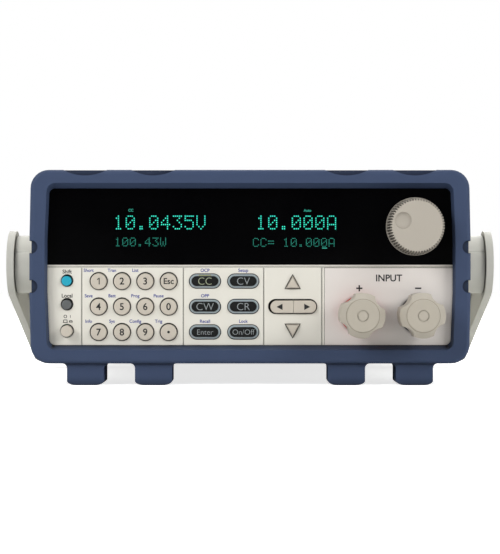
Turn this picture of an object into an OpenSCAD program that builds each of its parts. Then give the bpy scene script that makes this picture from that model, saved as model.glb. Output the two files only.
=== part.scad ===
// Half-rack bench DC electronic load: a steel case between two rubber bumpers, a moulded front panel
// with keys, a dial and two binding posts, a bail handle, and a fan-cooled load stage inside.
// Frame: +X to the right seen from the front, +Y to the back, +Z up, the bench at Z = 0.

/* [Case] */
// Width of the steel case
case_w = 214.5; // [210:0.5:235]
// Height of the steel case
case_h = 88.2; // [87:0.1:96]
// Depth from the front panel's face to the rear panel's face
case_d = 354.6; // [340:0.1:420]
// Thickness of the steel sheet
sheet_t = 1; // [0.8:0.1:1.3]
// Outer bend radius of the cover's top edges
case_r = 4; // [3:0.1:5]
// Clearance between sheets and mouldings that slide together
fit = 0.2; // [0.1:0.05:0.3]

/* [Bumpers] */
// Thickness of rubber above and below the case
bumper_wall = 5.6; // [4.8:0.1:7]
// Thickness of rubber beside the case
bumper_side = 6; // [5.2:0.1:7]
// How much narrower a bumper is at its corners than at mid height, on each side
bumper_bow = 0.6; // [0.4:0.1:2]
// Radius of a bumper's four corners, seen from the front
bumper_r = 9.5; // [8.5:0.5:14]
// Radius of a bumper's outer edges
bumper_edge = 2.2; // [1.5:0.1:3]
// Depth of the front bumper
front_bumper_d = 46; // [42:1:50]
// Depth of the rear bumper
rear_bumper_d = 46; // [42:1:60]
// How far the front bumper stands in front of the panel
bumper_proud = 5.2; // [4:0.1:8]
// How far the rear bumper stands behind the rear panel
rear_proud = 16; // [15.5:0.1:20]
// How far a bumper's lip reaches over the left and right edges of the panel
lip_side = 3; // [2:0.1:3.6]
// How far a bumper's lip reaches over the top and bottom edges of the panel
lip_top = 3.8; // [2.5:0.1:4.4]
// How much narrower the opening in a lip is at its corners than at mid height, on each side
lip_bow = 1; // [0.4:0.1:1.6]
// How much wider a lip opens at its outer face, left and right
bevel_side = 1; // [0.5:0.1:2]
// How much wider a lip opens at its outer face, top and bottom
bevel_top = 2.6; // [1:0.1:3]
// Height of the feet below a bumper
foot_h = 11.2; // [10:0.1:16]
// Width of a foot
foot_w = 19; // [16:0.5:22]
// Length of a foot
foot_l = 24; // [18:1:30]
// Distance of the outer feet from the middle
foot_x_outer = 84.5; // [78:0.1:85.5]
// Distance of the inner feet from the middle
foot_x_inner = 49.6; // [40:0.1:54]
// Width of the nest in the top edge above each foot
nest_w = 22.6; // [22.2:0.1:24]
// Depth of a nest
nest_h = 3; // [1.5:0.1:3.4]

/* [Front panel] */
// Thickness of the moulded front panel
panel_t = 4; // [3.8:0.1:5]
// Thickness of the dark display window
window_t = 2; // [1.6:0.1:2.2]
// How far the window lies behind the face of the panel
window_step = 0.8; // [0.4:0.1:1]
// Height of the window's lower edge above the bottom of the case
window_up = 45.2; // [44.8:0.1:47]
// Width of the terminal plate
plate_w = 67; // [65:0.5:69]
// Height of the terminal plate
plate_h = 41; // [39:0.5:42]
// Thickness of the terminal plate
plate_t = 2.6; // [2:0.1:3]

/* [Keys] */
// Diameter of the round keys
key_d = 8.5; // [7.6:0.1:8.8]
// Column pitch of the round keys
key_pitch_x = 12; // [11.6:0.1:12.4]
// Row pitch of all keys
key_pitch_z = 13.1; // [12.6:0.1:13.4]
// Height of the lowest row above the bottom of the case
key_row_up = 10.5; // [10:0.1:11.2]
// Width of the oblong mode keys
mode_w = 15.7; // [14.5:0.1:16.2]
// Height of the oblong mode keys
mode_h = 7; // [6.4:0.1:7.8]
// Width of the light ring round the cap of a mode key
mode_ring = 0.95; // [0.8:0.05:1.4]
// Column pitch of the mode keys
mode_pitch_x = 19.7; // [19.2:0.1:20.4]
// Width of the up and down keys
arrow_w = 7; // [6.4:0.1:7.6]
// Height of the up and down keys
arrow_h = 6.4; // [5.8:0.1:6.8]
// Width of the left and right keys together
rocker_w = 24.4; // [22:0.1:25]
// Height of the left and right keys
rocker_h = 6.9; // [6.2:0.1:7.4]
// Diameter of the two small round buttons
button_d = 5.6; // [5:0.1:6.4]
// Diameter of the power button
power_d = 6.2; // [5.6:0.1:6.8]
// How far keys stand out of the panel
key_proud = 1.6; // [1.4:0.1:2.4]
// How far the power button stands out of the panel
power_proud = 5; // [4:0.1:7]
// Travel of the keys
key_travel = 1.2; // [0.8:0.1:1.3]
// Travel of the power button
power_travel = 3; // [2.4:0.1:3.4]
// Gap between a key and the edge of its hole
key_gap = 0.45; // [0.3:0.05:0.55]

/* [Dial] */
// Diameter of the dial at its base
dial_d = 30; // [27:0.5:31]
// Diameter of the dial's face
dial_face_d = 26.8; // [24:0.1:26.9]
// Depth of the dial
dial_h = 15.5; // [14:0.5:18]
// Number of teeth round the dial
dial_teeth = 90; // [60:2:100]
// Diameter of the finger dimple in the dial's face
dimple_d = 8.7; // [7:0.1:9]
// Diameter of the encoder's shaft
shaft_d = 6; // [5.4:0.1:6.2]

/* [Binding posts] */
// Distance from the face of the panel to the face of the post nuts
post_reach = 32.2; // [31:0.1:38]
// Distance between the two posts
post_pitch = 30.2; // [29:0.1:31]
// Diameter of the studs
stud_d = 8; // [7:0.1:8.2]
// Diameter over the lobes of a nut
nut_d = 22.8; // [21.6:0.1:23.4]
// Diameter of the round crown of a nut
crown_d = 16.4; // [15:0.1:17.4]
// Diameter of the coloured insulators
insulator_d = 19.4; // [18.4:0.1:20.4]
// Thickness of the insulators in front of the plate
insulator_t = 5; // [4.4:0.1:5.6]
// Thickness of the clamp washers
washer_t = 1.5; // [1.2:0.1:2]

/* [Handle] */
// Distance of the handle's pivot behind the face of the front bumper
pivot_back = 74; // [72:0.5:80]
// Height of the pivot above the middle of the case
pivot_up = 1.6; // [0:0.1:3]
// Distance from the pivot to the middle of the grip
arm_l = 142; // [138:1:160]
// Radius of the round head of an arm
arm_head_r = 18.3; // [17:0.1:19.5]
// Half the thickness of the grip
grip_r = 4.8; // [4:0.1:5.2]
// Width of the grip along the arms
grip_w = 15; // [12:0.5:18]
// Thickness of an arm
arm_t = 4; // [3.6:0.1:6]
// Diameter of the fixed pivot bosses
boss_d = 31.7; // [28:0.1:32.4]
// Length of the fixed pivot bosses
boss_l = 20.3; // [18:0.1:22]
// Diameter of the pivot pins on the arms
pin_d = 20; // [16:0.1:21]

/* [Rear] */
// Room above and below the fan
fan_room = 4.1; // [4:0.1:6]
// Depth of the fan
fan_d = 25; // [22:1:28]
// Room between the fan and the right side of the case
fan_side = 13.5; // [13.5:0.1:18]
// Width of the mains socket in the inlet
socket_w = 24; // [23:0.1:25]
// Height of the mains socket in the inlet
socket_h = 16.5; // [16:0.1:17]

/* [Inside] */
// Distance of the heatsink behind the face of the panel
sink_back = 120; // [112:1:130]
// Thickness of the heatsink's upright plate
sink_t = 6; // [5:0.5:8]
// Thickness of the heatsink's fins
fin_t = 2; // [1.6:0.1:2.4]
// Width of the copper straps
strap_w = 14; // [12:0.5:15]
// Width of the transformer's core
core_w = 52; // [48:1:56]
// Height of the transformer's core
core_h = 44; // [40:1:46]
// Depth of the transformer's core
core_d = 22; // [18:1:26]
// Distance of the transformer from the rear panel
core_back = 104; // [96:1:106]
// Distance of the transformer's middle from the left side of the case
core_side = 48; // [44:1:50]

/* [Hidden] */
$fn = 48;
hull_fn = 32;
slice = 0.02;
seat_gap = 0.3;
run_gap = 0.06;

// Main planes of the object
total_d = post_reach + case_d + rear_proud;
panel_y = -total_d / 2 + post_reach;
panel_back = panel_y + panel_t;
rear_y = panel_y + case_d;
rear_in = rear_y - sheet_t;
bumper_y = panel_y - bumper_proud;
bumper_end = rear_y + rear_proud;
case_z0 = foot_h + bumper_wall;
case_z1 = case_z0 + case_h;
mid_z = case_z0 + case_h / 2;
floor_z = case_z0 + sheet_t;
inner_w = case_w - 2 * (sheet_t + fit);
left_x = -case_w / 2;
right_x = case_w / 2;
foot_xs = [-foot_x_outer, -foot_x_inner, foot_x_inner, foot_x_outer];

// Layout of the front panel, from its left and right edges and its bottom
window_z = case_z0 + window_up;
pad_w = 3 * key_pitch_x + key_d;
modes_w = mode_pitch_x + mode_w;
free_w = case_w - power_d - pad_w - modes_w - rocker_w - plate_w;
button_x = left_x + 0.27 * free_w + power_d / 2;
pad_left = button_x + power_d / 2 + 0.242 * free_w;
pad_x = pad_left + key_d / 2;
mode_left = pad_left + pad_w + 0.178 * free_w;
mode_x = mode_left + mode_w / 2;
arrow_left = mode_left + modes_w + 0.145 * free_w;
arrow_x = arrow_left + rocker_w / 2;
post_x = right_x - 50.9;
post_z = case_z0 + 19.4;
dial_x = right_x - 22.3;
window_w = case_w - 2.4;
window_h = case_z1 - window_z - 1.2;
dial_z = window_z + window_h / 2 - 1.3;
plate_x = right_x - 0.049 * free_w - plate_w / 2;
plate_z = window_z - 1.8 - plate_h / 2;
groove_xs = [pad_left - 0.121 * free_w, mode_left - 0.089 * free_w, arrow_left - 0.0725 * free_w,
             plate_x - plate_w / 2 - 0.04 * free_w];
rows = [for (i = [0:2]) case_z0 + key_row_up + i * key_pitch_z];
power_z = rows[0] + 0.6;
local_z = rows[1] + 1.2;
shift_z = rows[2] + 0.3;
up_z = rows[2] - 1.6;
down_z = rows[0] + 1.8;
display_left = left_x + 23.5;
display_w = dial_x - dial_d / 2 - 13.7 - display_left;
display_x = display_left + display_w / 2;
display_h = window_h - 8.8;
display_z = window_z + 1.5 + display_h / 2;
display_hole = [display_w / 2 + 4, display_h / 2 - 4.5];

// Keypad behind the panel, from front to back
flange_t = 1;
flange_out = 0.9;
flange_y = panel_back + seat_gap;
dome_r = 2;
dome_y = flange_y + flange_t + key_travel + seat_gap;
mat_y = dome_y + 1;
mat_t = 1.2;
board_y = mat_y + mat_t;
board_t = 1.6;
board_x0 = left_x + 3.6;
board_x1 = groove_xs[3] - 2.5;
board_z0 = case_z0 + 3.4;
board_z1 = window_z - 0.8;
board_xs = [groove_xs[0], groove_xs[1], board_x1 - 4];
board_zs = [board_z0 + 1.8, board_z1 - 1.8];
screw_r = 1.2;
rod_r = 2;
switch_y = board_y + board_t + 8;
switch_w = 14;
switch_l = 24;
switch_side = rod_r + 2.6;

// Dial and encoder
window_y = panel_y + window_step;
dial_y = window_y - seat_gap - dial_h;
bush_r = shaft_d / 2 + 1.4;
bush_reach = 5;
shaft_y = dial_y + 3;

// Binding posts
stud_r = stud_d / 2;
neck_r = stud_r + 2.6;
insulator_y = panel_y - insulator_t;
washer_y = insulator_y - seat_gap - washer_t;
nut_y = panel_y - post_reach;
nut_l = washer_y - seat_gap - nut_y;
bar_y = panel_y + plate_t + 6;
bar_t = 2;

// Handle
pivot_y = bumper_y + pivot_back;
pivot_z = mid_z + pivot_up;
arm_x = right_x + boss_l + seat_gap;
pin_l = 10;
stow_angle = asin((pivot_z - case_z0 / 2) / arm_l);

// Inside
fan_w = case_h - 2 * fan_room;
fan_x = right_x - fan_side - fan_w / 2;
fan_y = rear_in - fan_d;
fan_bore_r = fan_w / 2 - 2;
fan_hole = 0.447 * fan_w;
sink_y = panel_y + sink_back;
sink_l = fan_y - 3 - sink_y;
sink_x = fan_x - fan_w / 2;
power_board_x = sink_x - 9;
control_y = panel_y + 60;
coil_out = 9;
control_gap = 30.6;
control_l = rear_in - core_back - coil_out - control_gap - control_y;
control_w = 76;
control_x = left_x + 12 + control_w / 2;
control_z = floor_z + 8;
inlet_x = left_x + 35.5;
inlet_z = case_z0 + 17.5;
head_r = 2.8;
thread_r = 1.5;
cover_screw_ys = [for (k = [0.12, 0.5, 0.88])
    bumper_y + front_bumper_d + k * (case_d - front_bumper_d - rear_bumper_d)];
cover_screw_z = case_z0 + 7;
rear_screws = [for (sx = [-1, 1], z = [case_z0 + 8, case_z1 - 8]) [sx * (inner_w / 2 - 6), z]];

rubber_blue = "#3d4c69";
panel_beige = "#d9d6cc";
key_beige = "#c6bfb1";
handle_grey = "#c4c4bd";
board_green = "#2f5d3a";

// Shared shapes

// A flat shape in X and Z, made solid from y to y + d
module back(y, d) {
    translate([0, y + d, 0]) rotate([90, 0, 0]) linear_extrude(d) children();
}

// A flat shape in Y and Z, made solid from x to x + d
module across(x, d) {
    translate([x, 0, 0]) rotate([90, 0, 90]) linear_extrude(d) children();
}

module rod_y(r, y, d) {
    translate([0, y, 0]) rotate([-90, 0, 0]) cylinder(r = r, h = d);
}

module rod_x(r, x, d) {
    translate([x, 0, 0]) rotate([0, 90, 0]) cylinder(r = r, h = d);
}

// A box given by its lowest corner and its highest
module box(low, high) {
    translate(low) cube(high - low);
}

module rounded_rect(w, h, r) {
    square([w - 2 * r, h], center = true);
    square([w, h - 2 * r], center = true);
    for (sx = [-1, 1], sz = [-1, 1]) translate([sx * (w / 2 - r), sz * (h / 2 - r)]) circle(r);
}

// A bar with round ends
module stadium(w, h) {
    square([w - h, h], center = true);
    for (sx = [-1, 1]) translate([sx * (w - h) / 2, 0]) circle(h / 2);
}

// Bumpers

module bumper_outline(margin) {
    w = case_w + 2 * bumper_side - 2 * margin;
    h = case_h + 2 * bumper_wall - 2 * margin;
    translate([0, mid_z]) {
        rounded_rect(w - 2 * bumper_bow, h, bumper_r - margin, $fn = hull_fn);
        square([w, h / 4], center = true);
    }
}

// A block of rubber with rounded outer edges and bowed sides
module bumper_block(y, d) {
    hull() for (turn = [0, 30, 60, 90]) {
        step = bumper_edge * (1 - sin(turn));
        margin = bumper_edge * (1 - cos(turn));
        back(y + step, slice) bumper_outline(margin);
        back(y + d - step - slice, slice) bumper_outline(margin);
    }
}

module lip_outline(w, h, r) {
    rounded_rect(w - 2 * lip_bow, h, r, $fn = hull_fn);
    square([w, h / 3], center = true);
}

// The opening in a lip, bevelled from the panel out to the open face
module lip_opening(panel_side, open_side) {
    w = case_w - 2 * lip_side;
    h = case_h - 2 * lip_top;
    translate([0, 0, mid_z]) hull() {
        back(panel_side, slice) lip_outline(w, h, 3);
        back(open_side, slice) lip_outline(w + 2 * bevel_side, h + 2 * bevel_top, 4.5);
    }
}

// A foot with flared roots and a slightly bowed sole
module foot(y) {
    flare = 2.5;
    corner = [5, 2.2];
    half = concat(
        [for (a = [-90:15:0]) [foot_w / 2 - corner[0] * (1 - cos(a)), corner[1] * (1 + sin(a))]],
        [for (a = [180:-15:90]) [foot_w / 2 + flare + flare * cos(a), foot_h - flare + flare * sin(a)]],
        [[foot_w / 2 + flare, foot_h + 1]]);
    back(y, foot_l) polygon(concat(half, [for (i = [len(half) - 1:-1:0]) [-half[i][0], half[i][1]]]));
}

// One bumper: y is its open face, into points from there to the case, d is its depth, proud its lip
module bumper(y, into, d, proud) {
    y0 = min(y, y + into * d);
    lip = y + into * proud;
    nest_r = (nest_w * nest_w / 4 + nest_h * nest_h) / (2 * nest_h);
    top = case_z1 + bumper_wall;
    side = case_w / 2 + bumper_side;
    difference() {
        union() {
            bumper_block(y0, d);
            for (x = foot_xs) translate([x, 0, 0]) foot(y + into * (3 + foot_l / 2) - foot_l / 2);
        }
        lip_opening(lip, y - slice / 2);
        // Socket for the end of the case
        back(min(lip, lip + into * d), d) cover_section(-fit / 2);
        // Shallow nests in the top edge, above the feet
        for (x = foot_xs) translate([x, 0, top - nest_h + nest_r])
            rod_y(nest_r, y + into * 2.75 - 3.75, 7.5, $fn = 90);
        // Grip notches down each side, each with a round thumb rest in the open face
        for (sx = [-1, 1], up = [-10.1, 10.1]) translate([sx * side, 0, mid_z + up]) {
            translate([-sx, 0, 0]) rod_y(3.4, y + into - 2, 4);
            box([-1, y0 - 1, -3.1], [1, y0 + d + 1, 3.1]);
        }
    }
}

module front_bumper() {
    color(rubber_blue) bumper(bumper_y, 1, front_bumper_d, bumper_proud);
}

module rear_bumper() {
    color(rubber_blue) bumper(bumper_end, -1, rear_bumper_d, rear_proud);
}

// Case

// The cover's section: rounded above, straight below
module cover_section(margin) {
    translate([0, mid_z]) {
        rounded_rect(case_w - 2 * margin, case_h - 2 * margin, case_r - margin);
        translate([0, -case_h / 4]) square([case_w - 2 * margin, case_h / 2], center = true);
    }
}

module case_cover() {
    color("#cfcdc4") {
        difference() {
            back(panel_back, rear_y - panel_back) difference() {
                cover_section(0);
                cover_section(sheet_t);
                translate([0, case_z0]) square([case_w - 2 * sheet_t, 4 * sheet_t], center = true);
                translate([0, mid_z - case_h / 4 - 5])
                    square([case_w - 2 * sheet_t, case_h / 2], center = true);
            }
            // Air slots in both sides
            for (group = [0, 1], i = [0:9]) {
                y = pivot_y + 36 + group * 95 + i * 7.5;
                translate([0, y, mid_z + 4]) rotate([0, 0, 90]) back(-case_w, 2 * case_w)
                    rotate(90) stadium(34, 3);
            }
            for (y = cover_screw_ys) translate([0, y, cover_screw_z])
                rod_x(thread_r + fit, -case_w, 2 * case_w);
            for (sx = [-1, 1]) translate([0, pivot_y, pivot_z]) rod_x(3, sx * case_w / 2 - 3, 6);
        }
        // Tabs the rear panel is screwed to
        for (sx = [-1, 1]) difference() {
            translate([sx * (inner_w / 2 - 5.5), rear_in - sheet_t - 0.01, case_z1 - 9.3])
                cube([11.6, 2 * sheet_t, 14.4], center = true);
            translate([sx * (inner_w / 2 - 6), 0, case_z1 - 8]) rod_y(thread_r + fit, rear_y - 9, 18);
        }
    }
}

module base_pan() {
    wall = 14;
    color("#b9bab6") difference() {
        union() {
            box([-inner_w / 2, panel_back + 0.5, case_z0], [inner_w / 2, rear_in - fit, floor_z]);
            for (sx = [-1, 1]) translate([sx * (inner_w / 2 - sheet_t / 2), 0, 0])
                box([-sheet_t / 2, panel_back + 18, case_z0], [sheet_t / 2, rear_in - fit, case_z0 + wall]);
            // Tabs the rear panel is screwed to
            for (sx = [-1, 1]) translate([sx * (inner_w / 2 - 6), 0, 0])
                box([-6, rear_in - fit - sheet_t, case_z0], [6, rear_in - fit, case_z0 + wall]);
            // Standoffs for the control board
            translate([control_x, control_y + control_l / 2, floor_z - 0.5])
                for (sx = [-1, 1], sy = [-1, 1])
                    translate([sx * (control_w / 2 - 4), sy * (control_l / 2 - 4), 0])
                        cylinder(r = 3, h = control_z - floor_z + 0.5);
        }
        for (y = cover_screw_ys) translate([0, y, cover_screw_z])
            rod_x(thread_r + fit, -case_w, 2 * case_w);
        for (s = rear_screws) translate([s[0], 0, s[1]]) rod_y(thread_r + fit, rear_y - 9, 18);
    }
}

module rear_panel() {
    color("#c9c8c0") difference() {
        translate([0, 0, mid_z]) back(rear_in, sheet_t)
            rounded_rect(inner_w, case_h - 2 * (sheet_t + fit), case_r - sheet_t - fit);
        translate([fan_x, 0, mid_z]) {
            rod_y(fan_bore_r, rear_in - 5, 10, $fn = 90);
            for (sx = [-1, 1], sz = [-1, 1]) translate([sx * fan_hole, 0, sz * fan_hole])
                rod_y(thread_r + fit + 0.4, rear_in - 5, 10);
        }
        for (s = rear_screws) translate([s[0], 0, s[1]]) rod_y(thread_r + fit, rear_in - 5, 10);
        translate([inlet_x, 0, inlet_z]) back(rear_in - 5, 10)
            square([inlet_w + 2 * fit, inlet_h + 2 * fit], center = true);
        for (c = connectors) translate([c[0], 0, c[1]]) back(rear_in - 5, 10)
            square([c[2] + 2 * fit, c[3] + 2 * fit], center = true);
        translate([bnc_x, 0, bnc_z]) rod_y(bnc_r + fit, rear_in - 5, 10);
    }
}

// Front panel

// The outline of an up key, taken out by a gap on every side
module arrow_shape(gap) {
    leg = sqrt(arrow_w * arrow_w / 4 + arrow_h * arrow_h);
    inner = arrow_w * arrow_h / (arrow_w + 2 * leg);
    k = (inner + gap) / inner;
    polygon([[-k * arrow_w / 2, -k * inner], [k * arrow_w / 2, -k * inner], [0, k * (arrow_h - inner)]]);
}

module at_board_holes() {
    for (x = board_xs, z = board_zs) translate([x, 0, z]) children();
}

module at_display_holes() {
    for (sx = [-1, 1], sz = [-1, 1])
        translate([display_x + sx * display_hole[0], 0, display_z + sz * display_hole[1]]) children();
}

module front_panel() {
    tray_d = 14;
    wall = 2;
    tray_h = case_h - 2 * (sheet_t + fit);
    color(panel_beige) difference() {
        union() {
            translate([0, 0, mid_z]) back(panel_y, panel_t) rounded_rect(case_w, case_h, case_r);
            // Rim that plugs into the mouth of the case
            translate([0, 0, mid_z]) back(panel_back - 1, tray_d + 1) difference() {
                rounded_rect(inner_w, tray_h, case_r - sheet_t - fit);
                square([inner_w - 2 * wall, tray_h - 2 * wall], center = true);
            }
            at_board_holes() rod_y(2.2, panel_back - 1, board_y - panel_back + 1);
            at_display_holes() rod_y(2.6, panel_back - 1, display_board_y - panel_back + 1);
        }
        // Seat of the window, with the opening for the display and the hole for the encoder
        translate([0, 0, window_z + window_h / 2]) back(panel_y - 1, window_step + window_t + 1)
            square([window_w + 2 * fit, window_h + 2 * fit], center = true);
        translate([display_x, 0, display_z]) back(panel_y - 1, panel_t + 2)
            square([display_w - 14, display_h - 6], center = true);
        translate([dial_x, 0, dial_z]) rod_y(bush_r + fit, panel_y - 1, panel_t + 2);
        // Seat of the terminal plate, open behind
        translate([plate_x, 0, plate_z]) {
            back(panel_y - 1, plate_t + 1) square([plate_w + 2 * fit, plate_h + 2 * fit], center = true);
            back(panel_y - 1, panel_t + 2) square([plate_w - 8, plate_h - 8], center = true);
        }
        // Holes for the keys
        for (c = [0:3], z = rows) translate([pad_x + c * key_pitch_x, 0, z])
            rod_y(key_d / 2 + key_gap, panel_y - 1, panel_t + 2);
        for (c = [0, 1], z = rows) translate([mode_x + c * mode_pitch_x, 0, z])
            back(panel_y - 1, panel_t + 2) stadium(mode_w + 2 * key_gap, mode_h + 2 * key_gap);
        for (z = [local_z, shift_z]) translate([button_x, 0, z])
            rod_y(button_d / 2 + key_gap, panel_y - 1, panel_t + 2);
        translate([button_x, 0, power_z]) rod_y(power_d / 2 + key_gap, panel_y - 1, panel_t + 2);
        translate([arrow_x, 0, rows[1]]) back(panel_y - 1, panel_t + 2)
            stadium(rocker_w + 2 * key_gap, rocker_h + 2 * key_gap);
        translate([arrow_x, 0, up_z]) back(panel_y - 1, panel_t + 2) arrow_shape(key_gap);
        translate([arrow_x, 0, down_z]) back(panel_y - 1, panel_t + 2) mirror([0, 1]) arrow_shape(key_gap);
        // Grooves between the groups of keys
        for (x = groove_xs)
            box([x - 0.3, panel_y - 1, case_z0 + 1.5], [x + 0.3, panel_y + 0.4, window_z - 1.2]);
        box([left_x + 1.5, panel_y - 1, window_z - 1.5], [right_x - 1.5, panel_y + 0.4, window_z - 0.9]);
        // Screw holes in the bosses
        at_board_holes() rod_y(screw_r, panel_back - 1, 20);
        at_display_holes() rod_y(screw_r, panel_back, 20);
    }
}

module display_window() {
    color("#0a0b0c") difference() {
        translate([0, 0, window_z + window_h / 2]) back(window_y, window_t)
            square([window_w, window_h], center = true);
        translate([dial_x, 0, dial_z]) rod_y(bush_r + fit, window_y - 1, window_t + 2);
    }
}

module terminal_plate() {
    color("#d6d1cb") difference() {
        translate([plate_x, 0, plate_z]) back(panel_y, plate_t) square([plate_w, plate_h], center = true);
        for (i = [0, 1]) translate([post_x + i * post_pitch, 0, post_z])
            rod_y(neck_r + fit, panel_y - 1, plate_t + 2);
    }
}

// Binding posts

// An insulating collar with a neck through the terminal plate
module insulator(x) {
    translate([x, 0, post_z]) difference() {
        union() {
            rod_y(insulator_d / 2, insulator_y, insulator_t);
            rod_y(neck_r, panel_y - 1, plate_t + 7);
        }
        rod_y(stud_r + run_gap, insulator_y - 1, 30);
    }
}

module positive_insulator() {
    color("#b5271f") insulator(post_x);
}

module negative_insulator() {
    color("#1d1d1f") insulator(post_x + post_pitch);
}

// Threaded studs, each with a hexagon nut that clamps its bus bar inside
module post_studs() {
    color("#c9a35a") for (i = [0, 1]) translate([post_x + i * post_pitch, 0, post_z]) {
        rod_y(stud_r, nut_y + 5, bar_y + bar_t + 10 - nut_y - 5);
        rod_y(7.2, bar_y + bar_t, 6, $fn = 6);
    }
}

module clamp_washer(x) {
    translate([x, 0, post_z]) difference() {
        rod_y(stud_r + 4, washer_y, washer_t);
        rod_y(stud_r + run_gap, washer_y - 1, washer_t + 2);
    }
}

module positive_washer() {
    color("#c9c4b8") clamp_washer(post_x);
}

module negative_washer() {
    color("#c9c4b8") clamp_washer(post_x + post_pitch);
}

// A finger nut with four lobes that slope away from a round crown, and a ring in its face
module finger_nut(x, turn) {
    crown_r = crown_d / 2;
    step = 0.6;
    slope = 4;
    translate([x, 0, post_z]) difference() {
        union() {
            intersection() {
                back(nut_y + step, nut_l - step) rotate(turn) difference() {
                    circle(nut_d / 2);
                    for (i = [0:3]) rotate(45 + i * 90) translate([nut_d / 2 + 4.6, 0]) circle(6.6);
                }
                union() {
                    translate([0, nut_y + step - 0.01, 0]) rotate([-90, 0, 0])
                        cylinder(r1 = crown_r + 0.3, r2 = nut_d / 2 + 1, h = slope);
                    rod_y(nut_d / 2 + 1, nut_y + step + slope - 0.02, nut_l);
                }
            }
            rod_y(crown_r, nut_y + 0.3, 6);
            translate([0, nut_y, 0]) rotate([-90, 0, 0]) cylinder(r1 = crown_r - 0.3, r2 = crown_r, h = 0.31);
        }
        // Ring round the middle of the face, and the blind thread
        difference() {
            rod_y(2.9, nut_y - 1, 1.4);
            rod_y(2.4, nut_y - 2, 3);
        }
        rod_y(stud_r + run_gap, nut_y + 4, nut_l);
    }
}

module positive_nut() {
    color("#b9b1a4") finger_nut(post_x, -8);
}

module negative_nut() {
    color("#b9b1a4") finger_nut(post_x + post_pitch, 4);
}

// Copper straps: the positive one to the heatsink, the negative one over it to the power board
module bus_bars() {
    strap = strap_w / 2;
    ups = [10, 18];
    color("#b8733a") {
        for (i = [0, 1]) translate([post_x + i * post_pitch, 0, post_z]) {
            difference() {
                box([-strap, bar_y, -9], [strap, bar_y + bar_t, ups[i] + bar_t]);
                rod_y(stud_r + run_gap, bar_y - 1, bar_t + 2);
            }
            box([-strap, bar_y, ups[i]], [strap, i == 0 ? sink_y : sink_y - 4, ups[i] + bar_t]);
        }
        translate([0, 0, post_z + ups[1]]) {
            box([power_board_x, sink_y - 18, 0], [post_x + post_pitch, sink_y - 4, bar_t]);
            box([power_board_x, sink_y - 18, 0], [power_board_x + 12, sink_y, bar_t]);
        }
    }
}

// Handle

// The outline of an arm seen from the side, drawn along +X: round head, tapering to the grip
module arm_outline(margin) {
    lean = asin((arm_head_r - grip_r) / arm_l);
    tip = arm_l + grip_w / 2 - grip_r;
    polygon(concat(
        [for (a = [90 - lean:6:270 + lean]) (arm_head_r - margin) * [cos(a), sin(a)]],
        [for (a = [-90 + lean:6:90 - lean]) [tip, 0] + (grip_r - margin) * [cos(a), sin(a)]]));
}

module handle() {
    span = 2 * (arm_x + arm_t);
    reach = arm_l + grip_w / 2;
    color(handle_grey) translate([0, pivot_y, pivot_z]) {
        rotate([-stow_angle, 0, 0]) difference() {
            intersection() {
                // A hoop with rounded corners, cut to the outline of the arms
                translate([0, 0, -arm_head_r - 1]) linear_extrude(2 * arm_head_r + 2) difference() {
                    translate([0, reach / 2 - 20]) rounded_rect(span, reach + 40, 16);
                    translate([0, reach / 2 - 20 - grip_w / 2])
                        rounded_rect(span - 2 * arm_t, reach + 40 - grip_w, 11);
                    translate([0, -35]) square([span + 2, 30], center = true);
                }
                across(-span, 2 * span) arm_outline(0);
            }
            // Pockets in the inner faces
            for (sx = [-1, 1]) across(sx * arm_x - 1.6, 3.2) difference() {
                arm_outline(2.4);
                circle(boss_d / 2 + 2.4);
                translate([arm_l, 0]) square([60, 60], center = true);
            }
        }
        for (sx = [-1, 1]) rod_x(pin_d / 2, sx > 0 ? arm_x - pin_l : -arm_x - 1, pin_l + 1);
    }
}

// Fixed bosses the arms turn on
module handle_bosses() {
    color(handle_grey) translate([0, pivot_y, pivot_z]) for (sx = [-1, 1]) difference() {
        rod_x(boss_d / 2, sx > 0 ? right_x : left_x - boss_l, boss_l);
        rod_x(pin_d / 2 + run_gap, sx > 0 ? arm_x - pin_l - 1 : -arm_x - 1, pin_l + 2);
        // Seam of the moulding
        rotate([-25, 0, 0]) translate([0, -boss_d / 2, 0]) rotate([45, 0, 0])
            cube([2 * case_w, 0.5, 0.5], center = true);
    }
}

// Dial

module dial_knob() {
    root_r = dial_d / 2 - 0.9;
    depth = 0.5;
    flange = 1.2;
    body_h = dial_h - flange;
    shrink = dial_face_d / 2 / (root_r + depth / 2);
    color("#bab3a9") translate([dial_x, 0, dial_z]) difference() {
        union() {
            // Toothed wall, tapering to the face
            translate([0, dial_y + dial_h - flange + 0.1, 0]) rotate([90, 0, 0])
                linear_extrude(body_h + 0.1, scale = shrink) polygon([for (i = [0:2 * dial_teeth - 1])
                    (root_r + (i % 2) * depth) * [cos(i * 180 / dial_teeth), sin(i * 180 / dial_teeth)]]);
            rod_y(dial_d / 2, dial_y + dial_h - flange, flange);
        }
        // Hollow round the hub, with the hub's bore
        difference() {
            rod_y(dial_face_d / 2 - 2.4, dial_y + 3, dial_h);
            rod_y(shaft_d / 2 + 2.4, dial_y + 2, dial_h - bush_reach - 1.5);
        }
        rod_y(shaft_d / 2 + run_gap, shaft_y, dial_h);
        translate([-7.3, dial_y - 4.7, 2.7]) sphere(r = 6.4);
    }
}

module encoder_shaft() {
    color("#aeb0b2") translate([dial_x, 0, dial_z]) rod_y(shaft_d / 2, shaft_y, panel_back + 6 - shaft_y);
}

module encoder_body() {
    color("#8f9498") translate([dial_x, 0, dial_z]) difference() {
        union() {
            box([-7, panel_back, -7], [7, panel_back + 8, 7]);
            rod_y(bush_r, window_y - bush_reach + 0.6, panel_back + 1 - window_y + bush_reach - 0.6);
        }
        rod_y(shaft_d / 2 + run_gap, window_y - bush_reach - 1, panel_back + 7 - window_y + bush_reach);
    }
}

// Keys

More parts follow.
